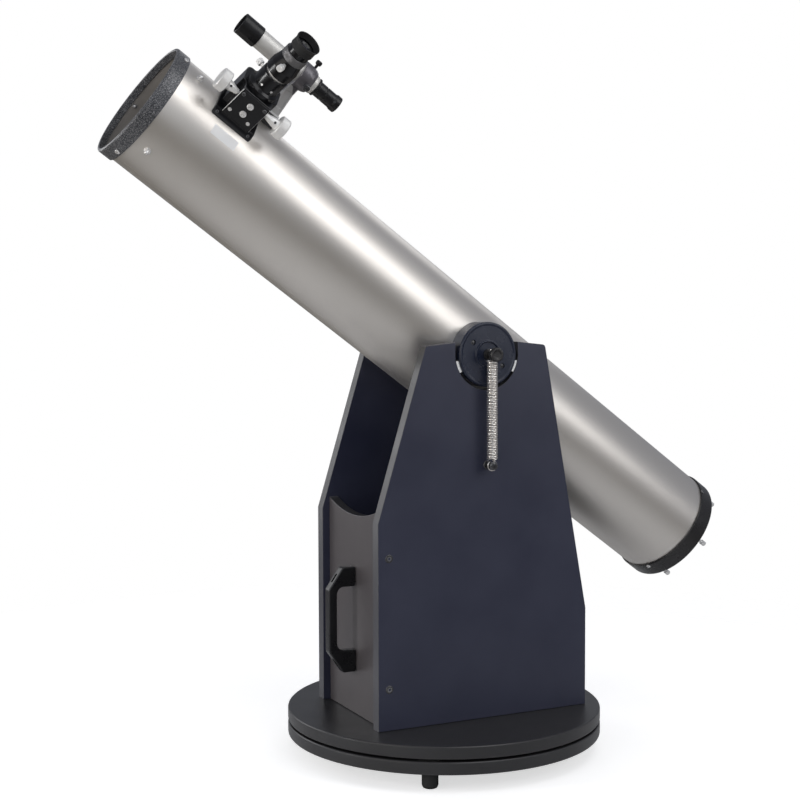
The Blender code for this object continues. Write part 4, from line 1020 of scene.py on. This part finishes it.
def make_focus_drive():
    place = FOCUSER @ placed(0.0, PINION_Y, PINION_Z)
    shaft = solid([(0.0026, 0.0564), (0.003, 0.056), (0.003, -0.0591), (0.0026, -0.0595)], 32, ease=0.0)
    stand_in("pinion_shaft", shaft, SCREW_STEEL, place @ ALONG_X)
    for name, sign, face in (("front", 1.0, 0.0594), ("rear", -1.0, 0.0625)):
        inner = face - 0.0145
        profile = [
            (0.0085, face - 0.0006), (0.0092, face), (0.015, face), (0.0165, face - 0.0015),
            (0.0165, inner + 0.0012), (0.0153, inner), (0.0085, inner), (0.0076, inner - 0.003),
            (0.0072, inner - 0.007), (0.005, 0.031), (0.0042, 0.0258), (0.0033, 0.0258),
            (0.0033, face - 0.0027)]
        flutes = (40, 0.0004, inner + 0.0016, face - 0.0019)
        knob = knurled(profile, 0.0005, 240, flutes, 0.003)
        stand_in("focus_knob_" + name, knob, SATIN_SILVER, place @ aimed((sign, 0.0, 0.0)))
        spot = place @ placed(x=sign * (inner - 0.0055)) @ aimed((0.0, 0.8, 0.6)) @ placed(z=0.0073)
        grub_screw("knob_grub_screw_" + name, 0.001, 0.0004, SCREW_BLACK, spot, "focus_knob_" + name)


def make_drawtube():
    barrel = ring([(0.0176, 0.208), (0.0176, 0.08), (0.0161, 0.08), (0.0161, 0.208)], MEDIUM_SIDES, 0.0003)
    low = 0.096
    high = 0.142
    teeth = 36
    outline = [(0.0164, low)]
    pitch = (high - low) / teeth
    for number in range(teeth):
        start = low + pitch * number
        outline += [(0.0175, start + 0.1 * pitch), (0.0182, start + 0.35 * pitch),
                    (0.0182, start + 0.6 * pitch), (0.0175, start + 0.85 * pitch)]
    outline += [(0.0164, high)]
    rack = plate(outline, 0.007, 0.0001, turn(90.0, "Z") @ turn(90.0, "X"))
    stand_in("drawtube", gathered([barrel, rack]), SATIN_SILVER, FOCUSER)
    head = [(0.0185, 0.219), (0.019, 0.2155), (0.0218, 0.203), (0.0218, 0.1896), (0.0212, 0.189),
            (0.0179, 0.189), (0.0179, 0.2083), (0.0161, 0.2083), (0.0161, 0.219)]
    screw_bore = bore(0.0034, 0.01, 0.04, 24, placed(z=EYEPIECE_SCREW_Z) @ aimed(EYEPIECE_SCREW_AIM))
    stand_in("drawtube_head", combined(ring(head, MEDIUM_SIDES, 0.0005), [screw_bore]), BLACK_METAL, FOCUSER)


def thumbscrew(node, tip, shoulder, end, head_radius, look, matrix):
    """A knurled thumbscrew; distances run outwards along its axis."""
    shank = 0.0029
    profile = [
        (head_radius * 0.45, end - 0.0004), (head_radius * 0.55, end), (head_radius - 0.0008, end),
        (head_radius, end - 0.0008), (head_radius, shoulder + 0.0008), (head_radius - 0.0008, shoulder),
        (shank, shoulder), (shank, tip + 0.0004), (shank - 0.0004, tip)]
    stand_in(node, knurled(profile, 0.0, 120, (20, 0.0004, shoulder + 0.0009, end - 0.0009)), look, matrix)


def make_eyepiece():
    body = [(0.009, 0.244), (0.012, 0.246), (0.0172, 0.246), (0.0172, 0.232), (0.0172, 0.231),
            (0.0158, 0.23), (0.0158, 0.187), (0.0146, 0.187), (0.0146, 0.2)]
    stand_in("eyepiece", solid(body, MEDIUM_SIDES), BLACK_METAL, FOCUSER)
    grip = [(0.0182, 0.2316), (0.0189, 0.2308), (0.0189, 0.22), (0.0182, 0.2193), (0.016, 0.2193),
            (0.016, 0.2316)]
    band = turned(refined(eased(grip, 0.0003) + [grip[0]], 0.002), 288, flutes=(72, 0.00025, 0.2206, 0.2302))
    detail("eyepiece_grip", band, RING_GREY, FOCUSER, "eyepiece")
    lens = turned([(0.0, 0.2455), (0.004, 0.2452), (0.008, 0.2442), (0.0088, 0.2436), (0.0, 0.2436)])
    detail("eyepiece_lens", lens, LENS, FOCUSER, "eyepiece")
    cup = [(0.0196, 0.256), (0.0196, 0.2545), (0.0182, 0.25), (0.0186, 0.24), (0.0175, 0.24),
           (0.0175, 0.2463), (0.0155, 0.247), (0.017, 0.251), (0.0182, 0.256)]
    stand_in("eyecup", ring(cup, MEDIUM_SIDES, 0.0006), RUBBER, FOCUSER)


# ---- finder
SHOE_X = 0.011
SHOE_SCREW_Z = 0.1045
FINDER_RADIUS = 0.0151
STALK_TOP = 0.158
PIN_X = 0.001
ADJUST_X = -0.002
ADJUST_ANGLE = 110.0


def adjust_aim(sign):
    """Where an adjusting screw points, away from the finder's axis."""
    angle = math.radians(ADJUST_ANGLE)
    return 0.0, sign * math.sin(angle), math.cos(angle)


def make_finder_mount():
    shoe = plate(rounded_rectangle(0.03, 0.03, 0.003), 0.022, 0.0007, placed(SHOE_X, 0.0, 0.099))
    slot = plate([(-0.0093, 0.098), (0.0093, 0.098), (0.0068, 0.112), (-0.0068, 0.112)], 0.08, 0.0, ACROSS)
    screw_place = placed(SHOE_X, 0.0, SHOE_SCREW_Z) @ aimed((0.0, 1.0, 0.0))
    steps = [bore(TUBE_CUT, -0.1, 0.1, ROUND_SIDES, ALONG_X), ("DIFFERENCE", slot),
             bore(0.0034, 0.0, 0.03, 24, screw_place)]
    stand_in("finder_shoe", combined(shoe, steps), BLACK_METAL, FINDER)
    foot = plate([(-0.0089, 0.0984), (0.0089, 0.0984), (0.0064, 0.113), (-0.0064, 0.113)], 0.028, 0.0004,
                 placed(x=SHOE_X) @ ACROSS)
    stalk_outline = [
        (-0.0015, 0.111), (0.0165, 0.111), (0.0185, 0.145), (0.0145, 0.168), (0.0, 0.168), (0.0015, 0.15)]
    stalk = plate(eased(stalk_outline, 0.002), 0.0105, 0.0012, UPRIGHT)
    bell = solid([(0.0208, 0.015), (0.0215, 0.0143), (0.0214, 0.002), (0.02, -0.004), (0.0178, -0.0085)],
                 MEDIUM_SIDES, ease=0.0006)
    axis = placed(z=FINDER_HEIGHT) @ ALONG_X
    pocket = block((0.011, 0.03, 0.03), rounding=0.0015, segments=2)
    steps = [("UNION", stalk)]
    for side in (1.0, -1.0):
        recess = moved(pocket, placed(0.0088, side * (0.015 + 0.0037), 0.1375) @ turn(4.0, "Y"))
        steps.append(("DIFFERENCE", recess))
    steps.append(("UNION", moved(bell, axis)))
    steps.append(bore(0.0164, -0.02, 0.02, MEDIUM_SIDES, axis))
    for aim, x in (((0.0, 0.0, 1.0), PIN_X), (adjust_aim(1.0), ADJUST_X), (adjust_aim(-1.0), ADJUST_X)):
        steps.append(bore(0.0026, 0.01, 0.03, 24, placed(x, 0.0, FINDER_HEIGHT) @ aimed(aim)))
    piece = stand_in("finder_bracket", combined(foot, steps), [CAST_GREY, CAST_PALE], FINDER)
    second_finish(piece, lambda face: face.center.z < STALK_TOP)


def make_finder():
    axis = FINDER_AXIS @ ALONG_X
    inside = FINDER_RADIUS - 0.0012
    tube = [(FINDER_RADIUS, 0.104), (FINDER_RADIUS, -0.0125), (0.0146, -0.0145), (0.0128, -0.0165),
            (0.0104, -0.0165), (0.0104, -0.01), (inside, -0.006), (inside, 0.104)]
    stand_in("finder_tube", ring(tube, MEDIUM_SIDES, 0.0005), CREAM_SILVER, axis)
    hood = [(0.0162, 0.128), (0.0168, 0.1274), (0.017, 0.095), (0.0164, 0.094), (0.0154, 0.094),
            (0.0154, 0.1043), (0.0146, 0.105), (0.015, 0.128)]
    stand_in("finder_hood", ring(hood, MEDIUM_SIDES), BLACK_PLASTIC, axis)
    lens = turned(
        [(0.0, 0.1091), (0.006, 0.1088), (0.011, 0.1078), (0.0144, 0.1062), (0.0144, 0.1046), (0.0, 0.1046)])
    detail("finder_objective", lens, LENS, axis, "finder_hood")
    barrel = [(0.0101, 0.006), (0.0101, -0.0168), (0.0145, -0.0168), (0.0145, -0.0195), (0.012, -0.0205),
              (0.0119, -0.033), (0.0113, -0.0336), (0.0113, -0.0348), (0.0119, -0.0354), (0.0119, -0.05),
              (0.0132, -0.0535), (0.0132, -0.06), (0.0125, -0.0612), (0.009, -0.0612), (0.0075, -0.059)]
    stand_in("finder_eyepiece", solid(barrel, MEDIUM_SIDES), BLACK_PLASTIC, axis)
    eye_lens = turned(
        [(0.0, -0.0587), (0.0073, -0.0587), (0.0073, -0.0593), (0.004, -0.0601), (0.0, -0.0604)])
    detail("finder_eye_lens", eye_lens, LENS, axis, "finder_eyepiece")


def make_finder_screws():
    tip = FINDER_RADIUS + 2 * GAP
    pin = [(0.0036, 0.0335), (0.0048, 0.0322), (0.005, 0.03), (0.0048, 0.0278), (0.0036, 0.0262),
           (0.0022, 0.0258), (0.0022, tip)]
    pin_mesh = solid(pin, ease=0.0008)
    stand_in("finder_spring_pin", pin_mesh, BLACK_PLASTIC, FINDER_AXIS @ placed(x=PIN_X))
    head = [(0.0024, 0.0321), (0.0028, 0.0325), (0.0046, 0.0325), (0.0052, 0.0317), (0.0052, 0.0243),
            (0.0046, 0.0237), (0.0022, 0.0237), (0.0022, tip)]
    for name, sign in (("near", 1.0), ("far", -1.0)):
        mesh = knurled(head, 0.0003, 120, (20, 0.0006, 0.0247, 0.0313), 0.001)
        stand_in("finder_screw_" + name, mesh, SCREW_BLACK,
                 FINDER_AXIS @ placed(x=ADJUST_X) @ aimed(adjust_aim(sign)))


# ---- studio
FLOOR_GLOW = 0.62               # lifts the floor towards the white behind it


def make_floor():
    """A pale floor that fades out into the background."""
    nodes = Nodes(bpy.data.materials.new("studio_floor"))
    length = nodes.add("ShaderNodeVectorMath", {0: nodes.coordinates["Object"]}, operation="LENGTH")
    seen = nodes.add("ShaderNodeLightPath").outputs["Is Camera Ray"]
    nodes.shade({"Roughness": 0.9, "Specular IOR Level": 0.1,
                 "Base Color": nodes.blend(nodes.noise(3.0, 2.0), (0.7, 0.7, 0.7), (0.73, 0.73, 0.73)),
                 "Alpha": nodes.span(length.outputs["Value"], 1.0, 0.0, 0.55, 1.5),
                 "Emission Color": (1.0, 1.0, 1.0),
                 "Emission Strength": nodes.span(seen, 0.0, FLOOR_GLOW, 0.0, 1.0)})
    mesh = turned([(0.0, 0.0), (0.8, 0.0), (2.4, 0.0)], 96)
    mesh.materials.append(nodes.owner)
    floor = bpy.data.objects.new("studio_floor", mesh)
    floor.location.z = -0.0002
    SCENE.collection.objects.link(floor)


WARM = (1.0, 0.94, 0.86)
COOL = (0.9, 0.95, 1.0)


def make_light(name, power, size, place, target, colour=(1.0, 1.0, 1.0)):
    data = bpy.data.lights.new(name, "AREA")
    data.energy = power
    data.shape = "RECTANGLE"
    data.size = size[0]
    data.size_y = size[1]
    data.color = colour
    lamp = bpy.data.objects.new(name, data)
    lamp.location = place
    direction = Vector(target) - Vector(place)
    lamp.rotation_euler = direction.to_track_quat("-Z", "Y").to_euler()
    SCENE.collection.objects.link(lamp)


def make_world():
    """White behind the object, and a softer grey room for its reflections."""
    world = bpy.data.worlds.new("studio")
    nodes = Nodes(world)
    height = nodes.add("ShaderNodeSeparateXYZ", {"Vector": nodes.coordinates["Generated"]}).outputs["Z"]
    shades = nodes.add("ShaderNodeValToRGB", {"Fac": nodes.span(height, 0.0, 1.0, -1.0, 1.0)})
    ramp = shades.color_ramp.elements
    ramp.new(0.55)
    stops = ((0.3, (0.118, 0.108, 0.094)), (0.55, (0.205, 0.215, 0.245)), (0.95, (0.3, 0.31, 0.34)))
    for element, (position, colour) in zip(ramp, stops):
        element.position = position
        element.color = (*colour, 1.0)
    room = nodes.add("ShaderNodeBackground", {"Color": shades.outputs["Color"]})
    white = nodes.add("ShaderNodeBackground", {"Color": (1.0, 1.0, 1.0)})
    seen = nodes.add("ShaderNodeLightPath").outputs["Is Camera Ray"]
    mix = nodes.add("ShaderNodeMixShader", {0: seen, 1: room.outputs[0], 2: white.outputs[0]})
    nodes.fill(nodes.tree.nodes["World Output"], {"Surface": mix.outputs["Shader"]})
    SCENE.world = world


def make_camera():
    azimuth = math.radians(-25.83)
    elevation = math.radians(3.45)
    roll = math.radians(-0.17)
    place = (-1.08239, -2.1242, 0.71425)
    back = Vector((math.sin(azimuth) * math.cos(elevation), -math.cos(azimuth) * math.cos(elevation),
                   math.sin(elevation)))
    level = Vector((math.cos(azimuth), math.sin(azimuth), 0.0))
    above = back.cross(level)
    right = level * math.cos(roll) + above * math.sin(roll)
    up = back.cross(right)
    data = bpy.data.cameras.new("camera")
    data.lens = 66.19
    data.sensor_width = 36.0
    data.clip_start = 0.05
    camera = bpy.data.objects.new("camera", data)
    camera.matrix_world = placed(*place) @ Matrix((right, up, back)).transposed().to_4x4()
    SCENE.collection.objects.link(camera)
    SCENE.camera = camera


def make_studio():
    make_floor()
    make_world()
    make_camera()
    centre = (0.0, 0.0, 0.55)
    make_light("key_light", 16.5, (1.2, 1.5), (1.55, -2.2, 1.5), centre)
    make_light("fill_light", 14.0, (1.6, 2.2), (-2.6, -1.2, 1.0), centre, WARM)
    make_light("front_light", 14.0, (1.8, 1.4), (-1.2, -2.9, 1.5), (0.0, 0.0, 0.8), COOL)
    make_light("strip_light", 15.0, (0.2, 1.5), (-2.4, 0.2, 0.75), (-0.2, 0.0, 0.9))
    make_light("back_light", 6.5, (2.0, 0.9), (1.9, 2.1, 2.2), centre)
    make_light("side_light", 19.0, (1.6, 1.8), (-1.7, 2.4, 1.2), centre)
    make_light("top_light", 5.5, (1.2, 0.8), (0.3, -1.0, 1.95), centre)
    SCENE.view_settings.view_transform = "Standard"


# ---- build
def make_telescope():
    make_base()
    make_front_board()
    make_cradle_pads()
    make_handle()
    for name, side in SIDES.items():
        make_side_board(name, side)
        make_spring(name, side)
        make_side_bearing(name, side)
    make_tube()
    make_end_rings()
    make_mirror_cell()
    make_spider()
    make_secondary()
    make_housing()
    make_pinion_cover()
    make_focus_drive()
    make_drawtube()
    make_eyepiece()
    thumbscrew("eyepiece_screw", 0.0163, 0.0265, 0.035, 0.005, SATIN_SILVER,
               FOCUSER @ placed(z=EYEPIECE_SCREW_Z) @ aimed(EYEPIECE_SCREW_AIM))
    thumbscrew("focus_lock_screw", 0.0182, 0.0265, 0.0345, 0.0052, SATIN_SILVER,
               FOCUSER @ placed(z=LOCK_SCREW_Z) @ aimed(LOCK_SCREW_AIM))
    make_finder_mount()
    make_finder()
    make_finder_screws()
    thumbscrew("shoe_screw", 0.0096, 0.016, 0.024, 0.0055, BLACK_PLASTIC,
               FINDER @ placed(SHOE_X, 0.0, SHOE_SCREW_Z) @ aimed((0.0, 1.0, 0.0)))


make_telescope()
make_studio()
